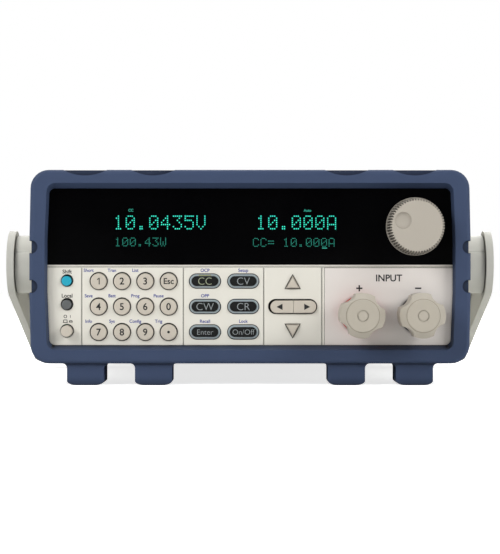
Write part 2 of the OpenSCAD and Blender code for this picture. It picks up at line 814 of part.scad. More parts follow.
// A round key with a chamfered face and a flange behind the panel
module round_key(x, z, d, proud = key_proud) {
    translate([x, 0, z]) {
        rod_y(d / 2, panel_y - proud + 0.5, flange_y - panel_y + proud);
        translate([0, panel_y - proud, 0]) rotate([-90, 0, 0])
            cylinder(r1 = d / 2 - 0.5, r2 = d / 2, h = 0.5);
        rod_y(d / 2 + flange_out, flange_y, flange_t);
    }
}

module pad_key(c, r) {
    color(key_beige) round_key(pad_x + c * key_pitch_x, rows[2 - r], key_d);
}

module key_1() { pad_key(0, 0); }
module key_2() { pad_key(1, 0); }
module key_3() { pad_key(2, 0); }
module key_esc() { pad_key(3, 0); }
module key_4() { pad_key(0, 1); }
module key_5() { pad_key(1, 1); }
module key_6() { pad_key(2, 1); }
module key_0() { pad_key(3, 1); }
module key_7() { pad_key(0, 2); }
module key_8() { pad_key(1, 2); }
module key_9() { pad_key(2, 2); }
module key_dot() { pad_key(3, 2); }

module shift_button() {
    color("#18a7bf") round_key(button_x, shift_z, button_d);
}

module local_button() {
    color("#616465") round_key(button_x, local_z, button_d);
}

// The power button reaches through the keypad into its switch
module power_button() {
    color("#c0baae") {
        round_key(button_x, power_z, power_d, power_proud);
        translate([button_x, 0, power_z]) rod_y(rod_r, flange_y, switch_y + 8 - flange_y);
    }
}

module power_switch() {
    color("#26282a") translate([button_x, 0, 0]) difference() {
        box([-switch_side, switch_y, floor_z], [switch_w - switch_side, switch_y + switch_l, power_z + 6]);
        translate([0, 0, power_z]) rod_y(rod_r + run_gap, switch_y - 1, 9 + power_travel + 1);
    }
}

// A two-shot key: a light ring with a dark cap raised in it
module mode_key(c, r) {
    color("#30343a") translate([mode_x + c * mode_pitch_x, 0, rows[2 - r]]) {
        back(panel_y - key_proud + 0.7, flange_y - panel_y + key_proud) stadium(mode_w, mode_h);
        back(panel_y - key_proud, 2) stadium(mode_w - 2 * mode_ring, mode_h - 2 * mode_ring);
        back(flange_y, flange_t) stadium(mode_w + 2 * flange_out, mode_h + 2 * flange_out);
    }
}

module cc_key() { mode_key(0, 0); }
module cv_key() { mode_key(1, 0); }
module cw_key() { mode_key(0, 1); }
module cr_key() { mode_key(1, 1); }
module enter_key() { mode_key(0, 2); }
module on_off_key() { mode_key(1, 2); }

module arrow_key() {
    back(panel_y - key_proud + 0.5, flange_y - panel_y + key_proud) arrow_shape(0);
    back(panel_y - key_proud, 2) arrow_shape(-0.4);
    back(flange_y, flange_t) arrow_shape(0.9);
}

module up_key() {
    color(key_beige) translate([arrow_x, 0, up_z]) arrow_key();
}

module down_key() {
    color(key_beige) translate([arrow_x, 0, down_z]) mirror([0, 0, 1]) arrow_key();
}

// Half of a bar with round ends, left or right of the split
module rocker_half(sx, gap) {
    intersection() {
        stadium(rocker_w + 2 * gap, rocker_h + 2 * gap);
        translate([sx * (rocker_w / 2 + 0.3), 0]) square([rocker_w, 2 * rocker_h], center = true);
    }
}

module rocker_key(sx) {
    color(key_beige) translate([arrow_x, 0, rows[1]]) {
        back(panel_y - key_proud, flange_y - panel_y + key_proud + 0.5) rocker_half(sx, 0);
        back(flange_y, flange_t) rocker_half(sx, flange_out);
    }
}

module left_key() { rocker_key(-1); }
module right_key() { rocker_key(1); }

// Keypad and display

module keypad_mat() {
    spots = concat(
        [for (c = [0:3], z = rows) [pad_x + c * key_pitch_x, z]],
        [for (c = [0, 1], z = rows) [mode_x + c * mode_pitch_x, z]],
        [for (z = [down_z, up_z]) [arrow_x, z]],
        [for (sx = [-1, 1]) [arrow_x + sx * rocker_w / 4, rows[1]]],
        [for (z = [local_z, shift_z]) [button_x, z]]);
    color("#8d8f90") difference() {
        union() {
            box([board_x0 + 0.5, mat_y, board_z0 + 4.6], [board_x1 - 0.5, mat_y + mat_t, board_z1 - 4.6]);
            for (s = spots) translate([s[0], 0, s[1]]) rod_y(dome_r, dome_y, mat_y + 0.5 - dome_y);
        }
        translate([button_x, 0, power_z]) rod_y(power_d / 2 + flange_out + 0.6, mat_y - 1, mat_t + 2);
    }
}

module keypad_board() {
    color(board_green) {
        difference() {
            box([board_x0, board_y, board_z0], [board_x1, board_y + board_t, board_z1]);
            at_board_holes() rod_y(screw_r + fit, board_y - 1, board_t + 2);
            translate([button_x, 0, power_z]) rod_y(rod_r + 1, board_y - 1, board_t + 2);
        }
        box([mode_x, board_y + board_t - 0.1, rows[1]], [mode_x + 24, board_y + board_t + 6, rows[1] + 6]);
    }
}

// Fluorescent display: a glass envelope on its board
display_board_y = panel_back + 8;
module display_module() {
    color("#3a6a5a") {
        translate([display_x, 0, display_z]) back(panel_back + seat_gap, 7.8)
            square([display_w, display_h], center = true);
        difference() {
            translate([display_x, 0, display_z]) back(display_board_y, board_t)
                square([display_w + 16, display_h + 1], center = true);
            at_display_holes() rod_y(screw_r + fit, display_board_y - 1, board_t + 2);
        }
    }
}

// Boards inside the case

module control_board() {
    color("#31603c") translate([control_x, control_y, control_z]) {
        box([-control_w / 2, 0, 0], [control_w / 2, control_l, board_t]);
        box([-14, 40, 1], [14, 68, 4]);
        box([-30, control_l - 60, 1], [-12, control_l - 38, 5]);
        box([8, control_l - 58, 1], [30, control_l - 46, 4.5]);
        for (i = [0:2]) translate([-28 + i * 14, control_l - 20, 1]) cylinder(r = 5, h = 16);
        box([18, 12, 1], [32, 34, 11]);
    }
}

// Upright board with the power transistors bolted to the heatsink's face
module power_board() {
    x0 = power_board_x;
    color("#35573f") {
        box([x0, sink_y, floor_z], [x0 + board_t, sink_y + sink_l - 20, case_z1 - 21]);
        for (i = [0:3]) translate([0, sink_y + 14 + i * 34, floor_z + 26])
            box([x0 + board_t - 0.1, 0, 0], [sink_x, 16, 20]);
    }
}

// Extruded heatsink: an upright plate with level fins, standing on the base
module heatsink() {
    fins = 13;
    top = case_z1 - 7.2;
    pitch = (top - floor_z - fin_t) / (fins - 1);
    color("#a9adb0") {
        box([sink_x, sink_y, floor_z], [sink_x + sink_t, sink_y + sink_l, top]);
        for (i = [0:fins - 1]) box([sink_x + sink_t - 1, sink_y, floor_z + i * pitch],
            [sink_x + fan_w - 4, sink_y + sink_l, floor_z + i * pitch + fin_t]);
    }
}

// A laminated core with a coil through it, on two bolted feet
module mains_transformer() {
    coil = [core_w - 18, core_d + 2 * coil_out, core_h - 16];
    foot = [16, core_d - 8, 2];
    color("#6d6a63") translate([left_x + core_side, rear_in - core_back, floor_z]) {
        difference() {
            box([-core_w / 2, 0, 0], [core_w / 2, core_d, core_h]);
            for (sx = [-1, 1]) translate([sx * (core_w / 2 - 5), 0, core_h - 6]) rod_y(2, -1, core_d + 2);
        }
        translate([-coil[0] / 2, (core_d - coil[1]) / 2, (core_h - coil[2]) / 2]) cube(coil);
        for (sx = [-1, 1])
            translate([sx * (core_w / 2 + 4) - foot[0] / 2, (core_d - foot[1]) / 2, 0]) cube(foot);
    }
}

// Fan

module fan_frame() {
    hub_r = 17;
    color("#1b1c1e") translate([fan_x, 0, mid_z]) difference() {
        union() {
            difference() {
                back(fan_y, fan_d) rounded_rect(fan_w, fan_w, 4);
                rod_y(fan_bore_r, fan_y - 1, fan_d + 2, $fn = 90);
            }
            rod_y(hub_r, fan_y + fan_d - 3, 3);
            for (i = [0:3]) rotate([0, 20 + i * 90, 0])
                box([10, fan_y + fan_d - 2.5, -1.5], [fan_bore_r + 1, fan_y + fan_d, 1.5]);
            rod_y(2.5, fan_y + 6, fan_d - 7);
        }
        for (sx = [-1, 1], sz = [-1, 1]) translate([sx * fan_hole, 0, sz * fan_hole])
            rod_y(thread_r + fit, fan_y - 1, fan_d + 2);
    }
}

module fan_rotor() {
    blades = 7;
    rotor_y = fan_y + 2.5;
    rotor_l = fan_d - 6.5;
    color("#2a2b2e") translate([fan_x, 0, mid_z]) difference() {
        union() {
            rod_y(16, rotor_y, rotor_l);
            for (i = [0:blades - 1]) rotate([0, i * 360 / blades, 0])
                translate([(fan_bore_r - 2 + 14) / 2, rotor_y + rotor_l / 2, 0]) rotate([38, 0, 0])
                    cube([fan_bore_r - 2 - 14, rotor_l * 0.9, 1.6], center = true);
        }
        rod_y(2.5 + run_gap, fan_y + 5.5, fan_d);
    }
}

// Wire guard over the fan's outlet
module fan_guard() {
    wire = 0.9;
    ring_pitch = 7.5;
    ring_r = fan_bore_r - 2.5;
    spoke_from = ring_r - 3 * ring_pitch - 3;
    ear_t = 3;
    ear_at = fan_hole * sqrt(2);
    ring_y = rear_y + 2.6;
    color("#c3c5c7") translate([fan_x, 0, mid_z]) {
        for (i = [0:3]) translate([0, ring_y + 1.2, 0]) rotate([90, 0, 0])
            rotate_extrude() translate([ring_r - i * ring_pitch, 0]) circle(wire);
        for (a = [45:90:315]) difference() {
            union() {
                rotate([0, a, 0]) translate([spoke_from, ring_y, 0]) rotate([0, 90, 0])
                    cylinder(r = wire, h = ear_at - spoke_from);
                rotate([0, a, 0]) translate([ear_at, 0, 0]) rod_y(head_r + 0.8, rear_y, ear_t);
            }
            rotate([0, a, 0]) translate([ear_at, 0, 0]) {
                rod_y(thread_r + fit, rear_y - 1, ear_t + 2);
                rod_y(head_r + fit, rear_y + ear_t, ear_t);
            }
        }
    }
}

// Rear fittings

inlet_w = socket_w + 4;
inlet_h = socket_h + 4;
// Centre, width and height of the body of each connector that passes through the rear panel
top_row_z = case_z1 - 20.2;
connectors = [[left_x + 37, top_row_z, 41, 11], [left_x + 40, case_z0 + 41, 44, 13],
              [left_x + 76.5, case_z0 + 14, 18, 10], [left_x + 82, case_z0 + 33, 12, 11]];
bnc_x = left_x + 74;
bnc_z = top_row_z;
bnc_r = 4.8;

module mains_inlet() {
    color("#1c1d1f") translate([inlet_x, 0, inlet_z]) {
        difference() {
            union() {
                back(rear_in - 17, 19) square([inlet_w, inlet_h], center = true);
                back(rear_y, 3) rounded_rect(inlet_w + 20, inlet_h + 4, 3);
            }
            back(rear_in - 13, 30) polygon([[-socket_w / 2, -socket_h / 2], [socket_w / 2, -socket_h / 2],
                [socket_w / 2, socket_h / 2 - 4], [socket_w / 2 - 4, socket_h / 2],
                [4 - socket_w / 2, socket_h / 2], [-socket_w / 2, socket_h / 2 - 4]]);
            for (sx = [-1, 1]) translate([sx * 20, 0, 0]) rod_y(thread_r + fit, rear_y - 1, 6);
        }
        for (p = [[-7, -2], [0, 2], [7, -2]]) translate([p[0], 0, p[1]])
            box([-1, rear_in - 14, -2], [1, rear_y - 1, 2]);
    }
}

// Terminal block, parallel bus, serial and square data sockets, and a round monitor socket
module rear_connectors() {
    block = connectors[0];
    bus = connectors[1];
    serial = connectors[2];
    square_port = connectors[3];
    color("#3f5f4a") translate([block[0], 0, block[1]]) difference() {
        union() {
            back(rear_in - 10, 18) square([block[2], block[3]], center = true);
            back(rear_in - 2, 2) square([block[2] + 4, block[3] + 3], center = true);
        }
        for (i = [0:7]) translate([(i - 3.5) * 5, 0, 0]) back(rear_y + 1, 20)
            square([3.6, 6.4], center = true);
    }
    color("#b5b8ba") translate([bus[0], 0, bus[1]]) {
        difference() {
            union() {
                back(rear_in - 10, 18) rounded_rect(bus[2], bus[3], 2);
                back(rear_y, 1.2) rounded_rect(bus[2] + 18, bus[3] + 3, 1.5);
            }
            back(rear_y + 1, 20) rounded_rect(bus[2] - 3, bus[3] - 3, 1.5);
            for (sx = [-1, 1]) translate([sx * (bus[2] / 2 + 5), 0, 0]) rod_y(1.9, rear_y - 1, 5);
        }
        back(rear_y + 0.5, 5) square([bus[2] - 9, 3.6], center = true);
    }
    color("#b5b8ba") translate([serial[0], 0, serial[1]]) {
        difference() {
            union() {
                back(rear_in - 8, 14) rounded_rect(serial[2], serial[3], 2);
                back(rear_y, 1) rounded_rect(serial[2] + 13, serial[3] + 2.6, 1.5);
            }
            for (i = [0:8]) translate([(i % 5 - 2 + (i > 4 ? 0.5 : 0)) * 2.74, 0, i > 4 ? -1.4 : 1.4])
                rod_y(0.6, rear_y + 2, 9, $fn = 16);
            for (sx = [-1, 1]) translate([sx * 12.5, 0, 0]) rod_y(1.4, rear_y - 1, 5);
        }
    }
    color("#b5b8ba") translate([square_port[0], 0, square_port[1]]) {
        difference() {
            union() {
                back(rear_in - 12, 15) square([square_port[2], square_port[3]], center = true);
                back(rear_in - 2, 2) square([square_port[2] + 3, square_port[3] + 3], center = true);
            }
            back(rear_in - 6, 20) square([square_port[2] - 3, square_port[3] - 3], center = true);
        }
        back(rear_in - 7, 8) square([5.6, 3.2], center = true);
    }
    color("#b5b8ba") translate([bnc_x, 0, bnc_z]) {
        difference() {
            union() {
                rod_y(bnc_r, rear_in - 8, 23);
                rod_y(7.6, rear_y, 2.4, $fn = 6);
                for (sz = [-1, 1]) translate([0, rear_y + 11, sz * bnc_r])
                    cylinder(r = 1, h = 2, center = true);
            }
            rod_y(bnc_r - 0.9, rear_y + 4, 20);
        }
        rod_y(2.2, rear_y + 3, 7);
    }
}

// Fixings: cover, rear panel, fan, keypad and display screws
module screw(reach) {
    rotate([-90, 0, 0]) {
        translate([0, 0, -1.8]) cylinder(r1 = head_r - 0.5, r2 = head_r, h = 0.6);
        translate([0, 0, -1.25]) cylinder(r = head_r, h = 1.25);
        translate([0, 0, -0.1]) cylinder(r = thread_r, h = reach + 0.1);
    }
}

module case_screws() {
    color("#8e9194") {
        for (sx = [-1, 1], y = cover_screw_ys) translate([sx * case_w / 2, y, cover_screw_z])
            rotate([0, 0, sx * 90]) screw(5);
        for (s = rear_screws) translate([s[0], rear_y, s[1]]) rotate([0, 0, 180]) screw(6);
        for (sx = [-1, 1], sz = [-1, 1])
            translate([fan_x + sx * fan_hole, rear_y + 3, mid_z + sz * fan_hole])
                rotate([0, 0, 180]) screw(14);
        for (sx = [-1, 1]) translate([inlet_x + sx * 20, rear_y + 3, inlet_z]) rotate([0, 0, 180]) screw(3);
        at_board_holes() translate([0, board_y + board_t, 0]) small_screw();
        at_display_holes() translate([0, display_board_y + board_t, 0]) small_screw();
    }
}

module small_screw() {
    rod_y(2, 0, 1.2);
    rod_y(screw_r - run_gap, -5, 5.1);
}

front_bumper();
rear_bumper();
case_cover();
base_pan();
rear_panel();
front_panel();
display_window();
terminal_plate();
positive_insulator();
negative_insulator();
post_studs();
positive_washer();
negative_washer();
positive_nut();
negative_nut();
bus_bars();
handle();
handle_bosses();
dial_knob();
encoder_shaft();
encoder_body();
power_button();
power_switch();
shift_button();
local_button();
key_1();
key_2();
key_3();
key_esc();
key_4();
key_5();
key_6();
key_0();
key_7();
key_8();
key_9();
key_dot();
cc_key();
cv_key();
cw_key();
cr_key();
enter_key();
on_off_key();
up_key();
down_key();
left_key();
right_key();
keypad_mat();
keypad_board();
display_module();
control_board();
power_board();
heatsink();
mains_transformer();
fan_frame();
fan_rotor();
fan_guard();
mains_inlet();
rear_connectors();
case_screws();
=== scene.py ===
"""Bench DC electronic load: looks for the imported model, in metres, in the frame of the CAD part."""
import math

import bmesh
import bpy
from mathutils import Matrix, Vector


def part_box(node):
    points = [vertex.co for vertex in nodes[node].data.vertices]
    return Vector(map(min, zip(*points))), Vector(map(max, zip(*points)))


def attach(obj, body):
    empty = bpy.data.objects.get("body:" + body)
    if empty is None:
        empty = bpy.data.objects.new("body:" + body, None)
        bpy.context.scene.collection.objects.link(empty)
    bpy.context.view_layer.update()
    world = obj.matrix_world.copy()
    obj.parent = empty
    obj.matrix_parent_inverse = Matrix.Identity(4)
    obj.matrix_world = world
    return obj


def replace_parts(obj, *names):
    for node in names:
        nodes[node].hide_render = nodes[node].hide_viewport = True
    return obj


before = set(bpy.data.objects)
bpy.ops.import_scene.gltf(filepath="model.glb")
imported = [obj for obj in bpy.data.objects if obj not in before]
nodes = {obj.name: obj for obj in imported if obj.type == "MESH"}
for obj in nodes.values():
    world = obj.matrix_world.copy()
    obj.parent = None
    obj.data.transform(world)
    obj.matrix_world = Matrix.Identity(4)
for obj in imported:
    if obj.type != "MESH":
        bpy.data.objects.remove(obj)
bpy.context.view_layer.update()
scene = bpy.context.scene
scene.view_settings.view_transform = "Standard"


# Studio: a pale floor in front of a white wall, with large soft lamps above and beside a level camera.
# The camera stands one metre in front of the bumper with a long lens, as for a catalogue picture.
camera_distance = 1.0
camera_height = 0.0556
camera_data = bpy.data.cameras.new("catalogue_camera")
camera_data.lens = 126.9
camera_data.sensor_width = 36.0
camera = bpy.data.objects.new("catalogue_camera", camera_data)
camera.location = (0.0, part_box("front_bumper")[0].y - camera_distance, camera_height)
camera.rotation_euler = (math.radians(90), 0.0, 0.0)
scene.collection.objects.link(camera)
scene.camera = camera


def linear(hex_colour):
    """An sRGB hex colour as the linear colour that Blender's sockets take."""
    parts = [int(hex_colour[i:i + 2], 16) / 255 for i in (1, 3, 5)]
    return tuple(c / 12.92 if c <= 0.04045 else ((c + 0.055) / 1.055) ** 2.4 for c in parts) + (1.0,)


def add(tree, kind, settings=(), links=()):
    """One node with its settings, by attribute or by socket, and its incoming links."""
    node = tree.nodes.new(kind)
    for name, value in dict(settings).items():
        if isinstance(name, str) and hasattr(node, name):
            setattr(node, name, value)
        else:
            node.inputs[name].default_value = value
    for socket, source in dict(links).items():
        tree.links.new(source, node.inputs[socket])
    return node


def new_material(name):
    """An empty node material: its tree and its output node."""
    material = bpy.data.materials.new(name)
    material.use_nodes = True
    material.node_tree.nodes.clear()
    return material, material.node_tree, material.node_tree.nodes.new("ShaderNodeOutputMaterial")


def softbox(name, place, aim, size, watts):
    """A large soft lamp that faces a point."""
    lamp = bpy.data.lights.new(name, "AREA")
    lamp.shape = "RECTANGLE"
    lamp.size, lamp.size_y = size
    lamp.energy = watts
    holder = bpy.data.objects.new(name, lamp)
    holder.location = place
    holder.rotation_euler = (Vector(aim) - Vector(place)).to_track_quat("-Z", "Y").to_euler()
    scene.collection.objects.link(holder)


front_middle = (0.0, -0.15, 0.06)
softbox("left_softbox", place=(-1.05, -1.1, 0.8), aim=front_middle, size=(0.7, 0.7), watts=14.6)
softbox("right_softbox", place=(1.18, -1.0, 0.7), aim=front_middle, size=(0.7, 0.7), watts=12.2)
softbox("top_softbox", place=(0.0, 0.3, 1.5), aim=(0.0, 0.1, 0.0), size=(1.4, 1.2), watts=10.0)
softbox("back_softbox", place=(0.3, 1.5, 0.9), aim=(0.0, 0.1, 0.05), size=(1.2, 0.9), watts=14.0)

# The wall behind is white to the eye and in reflections; the room behind the camera is dim, so that
# the flat black window stays black. Other rays get an even grey light from all round.
white = linear("#ffffff")
world = bpy.data.worlds.new("white_studio")
scene.world = world
world.use_nodes = True
sky = world.node_tree
sky.nodes.clear()
sky_rays = add(sky, "ShaderNodeLightPath")
mirror_rays = add(sky, "ShaderNodeMath", {"operation": "MAXIMUM"},
                  {0: sky_rays.outputs["Is Glossy Ray"], 1: sky_rays.outputs["Is Transmission Ray"]})
ways = add(sky, "ShaderNodeTexCoord").outputs["Generated"]
direction = add(sky, "ShaderNodeSeparateXYZ", links={0: ways})
room_to_wall = add(sky, "ShaderNodeMapRange",
                   {"From Min": -0.75, "From Max": 0.1, "To Min": 0.03, "To Max": 1.0},
                   {"Value": direction.outputs["Y"]})
ambient = add(sky, "ShaderNodeBackground", {"Color": white, "Strength": 0.28})
mirrored = add(sky, "ShaderNodeBackground", {"Color": white}, {"Strength": room_to_wall.outputs["Result"]})
wall = add(sky, "ShaderNodeBackground", {"Color": white, "Strength": 1.0})
lit = add(sky, "ShaderNodeMixShader",
          links={0: mirror_rays.outputs[0], 1: ambient.outputs[0], 2: mirrored.outputs[0]})
seen = add(sky, "ShaderNodeMixShader",
           links={0: sky_rays.outputs["Is Camera Ray"], 1: lit.outputs[0], 2: wall.outputs[0]})
add(sky, "ShaderNodeOutputWorld", links={0: seen.outputs[0]})

# Floor: matt white board. A little glow for the camera lifts it to white, and shadows still darken it.
floor_white, tree, out = new_material("matt_white_board")
floor_rays = add(tree, "ShaderNodeLightPath")
board = add(tree, "ShaderNodeBsdfDiffuse", {"Color": linear("#f2f2f0")})
floor_glow = add(tree, "ShaderNodeEmission", {"Color": white, "Strength": 0.74})
both = add(tree, "ShaderNodeAddShader", links={0: board.outputs[0], 1: floor_glow.outputs[0]})
shown = add(tree, "ShaderNodeMixShader",
            links={0: floor_rays.outputs["Is Camera Ray"], 1: board.outputs[0], 2: both.outputs[0]})
tree.links.new(shown.outputs[0], out.inputs[0])
floor_mesh = bmesh.new()
bmesh.ops.create_grid(floor_mesh, x_segments=1, y_segments=1, size=6.0)
floor_data = bpy.data.meshes.new("studio_floor")
floor_mesh.to_mesh(floor_data)
floor_mesh.free()
floor_data.materials.append(floor_white)
floor = bpy.data.objects.new("studio_floor", floor_data)
scene.collection.objects.link(floor)


# Case: a folded cover over a flat base pan, with a separate rear panel, all in thin steel sheet.
# Cover and rear panel are powder coated in warm light grey; the base pan is only zinc plated.
def grained(name, colour, roughness, grain_mm, depth_mm, mottle=0.03, cloud_mm=22.0, settings=(),
            painted_shade_mm=0.0, open_at=0.85, darkest=0.2, painted_shade_on=""):
    """A colour with faint clouds and a fine grain in gloss and relief.

    Painted shade: places with less than painted_shade_mm of room fall towards the darkest share of the
    colour, and faces that the attribute painted_shade_on marks take a deeper tone.
    """
    material, tree, out = new_material(name)
    place = add(tree, "ShaderNodeTexCoord").outputs["Object"]
    clouds = add(tree, "ShaderNodeTexNoise", {"Scale": 1000 / cloud_mm, "Detail": 4.0}, {"Vector": place})
    grain = add(tree, "ShaderNodeTexNoise", {"Scale": 1000 / grain_mm, "Detail": 2.0}, {"Vector": place})
    base = linear(colour)
    dark = tuple(c * (1 - mottle) for c in base[:3]) + (1.0,)
    light = tuple(min(1.0, c * (1 + mottle)) for c in base[:3]) + (1.0,)
    tint = add(tree, "ShaderNodeMix", {"data_type": "RGBA", 6: dark, 7: light}, {0: clouds.outputs["Fac"]})
    tone = tint.outputs[2]
    # Painted shade: an occlusion node darkens the colour where there is little room.
    if painted_shade_mm:
        corners = add(tree, "ShaderNodeAmbientOcclusion", {"samples": 8, "Distance": painted_shade_mm / 1000})
        shade = add(tree, "ShaderNodeMapRange",
                    {"From Min": 0.2, "From Max": open_at, "To Min": darkest, "To Max": 1.0},
                    {"Value": corners.outputs["AO"]})
        shaded = add(tree, "ShaderNodeMix", {"data_type": "RGBA", "blend_type": "MULTIPLY", 0: 1.0},
                     {6: tone, 7: shade.outputs["Result"]})
        tone = shaded.outputs[2]
    # Painted shade: faces marked by the attribute are multiplied by a darker blue-grey.
    if painted_shade_on:
        marked = add(tree, "ShaderNodeAttribute", {"attribute_name": painted_shade_on})
        deepened = add(tree, "ShaderNodeMix",
                       {"data_type": "RGBA", "blend_type": "MULTIPLY", 7: linear("#b0b7c4")},
                       {0: marked.outputs["Fac"], 6: tone})
        tone = deepened.outputs[2]
    gloss_spread = 0.08
    gloss = add(tree, "ShaderNodeMapRange",
                {"To Min": roughness - gloss_spread, "To Max": roughness + gloss_spread},
                {"Value": grain.outputs["Fac"]})
    relief = add(tree, "ShaderNodeBump", {"Strength": 0.6, "Distance": depth_mm / 1000},
                 {"Height": grain.outputs["Fac"]})
    shader = add(tree, "ShaderNodeBsdfPrincipled", dict(settings),
                 {"Base Color": tone, "Roughness": gloss.outputs["Result"],
                  "Normal": relief.outputs["Normal"]})
    tree.links.new(shader.outputs[0], out.inputs[0])
    return material


def paint(material, *names):
    """Gives CAD nodes a material of the scene's own."""
    for name in names:
        nodes[name].data.materials.clear()
        nodes[name].data.materials.append(material)


# Powder coat shows a soft sheen broken by orange peel about a millimetre wide.
powder_coat = grained("powder_coated_steel", "#cfcdc4", roughness=0.5, grain_mm=1.1, depth_mm=0.05,
                      settings={"Specular IOR Level": 0.45})
# Zinc plate is a dull bluish metal with a grey bloom.
zinc_plate = grained("zinc_plated_steel", "#b4b8b8", roughness=0.42, grain_mm=2.5, depth_mm=0.01,
                     mottle=0.12, cloud_mm=14.0, settings={"Metallic": 1.0})
paint(powder_coat, "case_cover", "rear_panel")
paint(zinc_plate, "base_pan")


# Load stage and boards: an extruded aluminium heatsink, copper straps, circuit boards with their parts
# and a mains transformer stand on the base pan, and the keypad's board and mat lie behind the front
# panel. They show only through the air slots.
# Extruded aluminium has a soft grey shine, and rolled copper a warm one with darker clouds.
extruded_aluminium = grained("extruded_aluminium", "#a9adb0", roughness=0.38, grain_mm=0.8, depth_mm=0.01,
                             mottle=0.06, cloud_mm=9.0, settings={"Metallic": 1.0})
bare_copper = grained("rolled_copper", "#b8733a", roughness=0.34, grain_mm=0.9, depth_mm=0.01,
                      mottle=0.12, cloud_mm=12.0, settings={"Metallic": 1.0})
# Board lacquer is a semi-gloss green, lighter and darker over the tracks below it.
board_lacquer = grained("green_board_lacquer", "#2f5d3a", roughness=0.35, grain_mm=1.6, depth_mm=0.04,
                        mottle=0.2, cloud_mm=5.0)
# Varnish leaves the stack of iron sheets a dull brown-grey. Silicone is plain matt grey.
varnished_iron = grained("varnished_laminations", "#6d6a63", roughness=0.5, grain_mm=0.5, depth_mm=0.05,
                         mottle=0.15, cloud_mm=4.0, settings={"Metallic": 0.6})
grey_silicone = grained("moulded_silicone", "#8d8f90", roughness=0.7, grain_mm=0.7, depth_mm=0.03)
paint(extruded_aluminium, "heatsink")
paint(bare_copper, "bus_bars")
paint(board_lacquer, "keypad_board", "control_board", "power_board")
paint(varnished_iron, "mains_transformer")
paint(grey_silicone, "keypad_mat")


# Rear fittings: a black thermoplastic fan behind a chromed wire guard, the mains inlet, a green plug-in
# terminal block and plated data sockets, all let into the rear panel and held by small plated screws.
# Glass-filled nylon is a dull black with a fine grain, and the terminal block's nylon a semi-gloss green.
black_nylon = grained("glass_filled_nylon", "#1b1c1e", roughness=0.52, grain_mm=0.7, depth_mm=0.04,
                      mottle=0.15)
# The terminal block's nylon is darkened with painted shade in its gaps and holes.
green_nylon = grained("green_terminal_nylon", "#2f7a4b", roughness=0.42, grain_mm=0.6, depth_mm=0.02,
                      mottle=0.05, painted_shade_mm=3.0)
# Chromed wire shines bright and cool, and nickel plate a little warmer and duller.
chrome_wire = grained("chromed_steel_wire", "#c8cacc", roughness=0.2, grain_mm=1.5, depth_mm=0.005,
                      mottle=0.04, cloud_mm=10.0, settings={"Metallic": 1.0})
nickel_plate = grained("nickel_plated_steel", "#bdbcb6", roughness=0.3, grain_mm=1.2, depth_mm=0.006,
                       mottle=0.06, cloud_mm=8.0, settings={"Metallic": 1.0})
# Stamped tin plate is greyer than nickel, and painted shade darkens the inside of a socket.
tin_plate = grained("tin_plated_shell", "#86888a", roughness=0.42, grain_mm=1.0, depth_mm=0.006,
                    mottle=0.08, cloud_mm=6.0, settings={"Metallic": 1.0}, painted_shade_mm=6.0, open_at=0.92,
                    darkest=0.06)
paint(black_nylon, "fan_frame", "fan_rotor", "mains_inlet", "power_switch")
paint(chrome_wire, "fan_guard")
paint(nickel_plate, "case_screws", "encoder_shaft", "encoder_body")
mm = 0.001


def copy_of(node):
    """A CAD node's mesh with its seams welded and its flat faces joined up."""
    mesh = bmesh.new()
    mesh.from_mesh(nodes[node].data)
    bmesh.ops.remove_doubles(mesh, verts=mesh.verts, dist=2e-6)
    bmesh.ops.dissolve_limit(mesh, angle_limit=math.radians(0.6), verts=mesh.verts, edges=mesh.edges)
    return mesh


def piece_of(name, mesh, material, body, sharp=35.0):
    """A bmesh made an object of the part: smooth up to an angle, riding on a body, with its material."""
    data = bpy.data.meshes.new(name)
    mesh.to_mesh(data)
    mesh.free()
    data.shade_smooth()
    data.set_sharp_from_angle(angle=math.radians(sharp))
    data.materials.append(material)
    piece = bpy.data.objects.new(name, data)
    scene.collection.objects.link(piece)
    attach(piece, body)
    return piece


# The sockets lie in one node, so each is cut out of it by its field of the rear panel.
sockets = copy_of("rear_connectors")
rear_low, rear_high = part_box("rear_panel")


def socket_between(name, material, x0, x1, z0, z1):
    """The sockets' faces in one field, measured from the rear panel's low corner, as a piece."""
    mesh = sockets.copy()
    outside = []
    for face in mesh.faces:
        at = face.calc_center_bounds() - rear_low
        if not (x0 < at.x < x1 and z0 < at.z < z1):
            outside.append(face)
    bmesh.ops.delete(mesh, geom=outside, context="FACES")
    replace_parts(piece_of(name, mesh, material, "chassis"), "rear_connectors")


rear_height = rear_high.z - rear_low.z
upper_row = 58 * mm
lower_row = 22.5 * mm
socket_between("terminal_block", green_nylon, 0, 59 * mm, upper_row, rear_height)
socket_between("monitor_socket", nickel_plate, 59 * mm, 90 * mm, upper_row, rear_height)
socket_between("bus_socket", tin_plate, 0, 72 * mm, 30 * mm, upper_row)
socket_between("square_data_socket", tin_plate, 72 * mm, 90 * mm, lower_row, upper_row)
socket_between("serial_socket", tin_plate, 59 * mm, 110 * mm, 0, lower_row)
sockets.free()

# Each screw head has a cross recess. It is not cut: a flat dark cross is laid on the head as painted shade.
painted_recess_shade = grained("painted_shade_cross_recess", "#2c2d2e", roughness=0.6, grain_mm=0.4, depth_mm=0.01,
                       mottle=0.1)
cross_reach = 1.5 * mm
cross_width = 0.75 * mm
cross_lift = 0.02 * mm


def add_bar(mesh, start, end, width, facing):
    """A flat bar between two points, square to the way it faces."""
    along = (Vector(end) - Vector(start)).normalized()
    out_of = Vector(facing).normalized()
    across = out_of.cross(along)
    axes = Matrix((along, across, out_of)).transposed().to_4x4()
    size = Matrix.Diagonal(((Vector(end) - Vector(start)).length, width, 1.0, 1.0))
    place = Matrix.Translation((Vector(start) + Vector(end)) / 2)
    bmesh.ops.create_grid(mesh, x_segments=1, y_segments=1, size=0.5, matrix=place @ axes @ size)


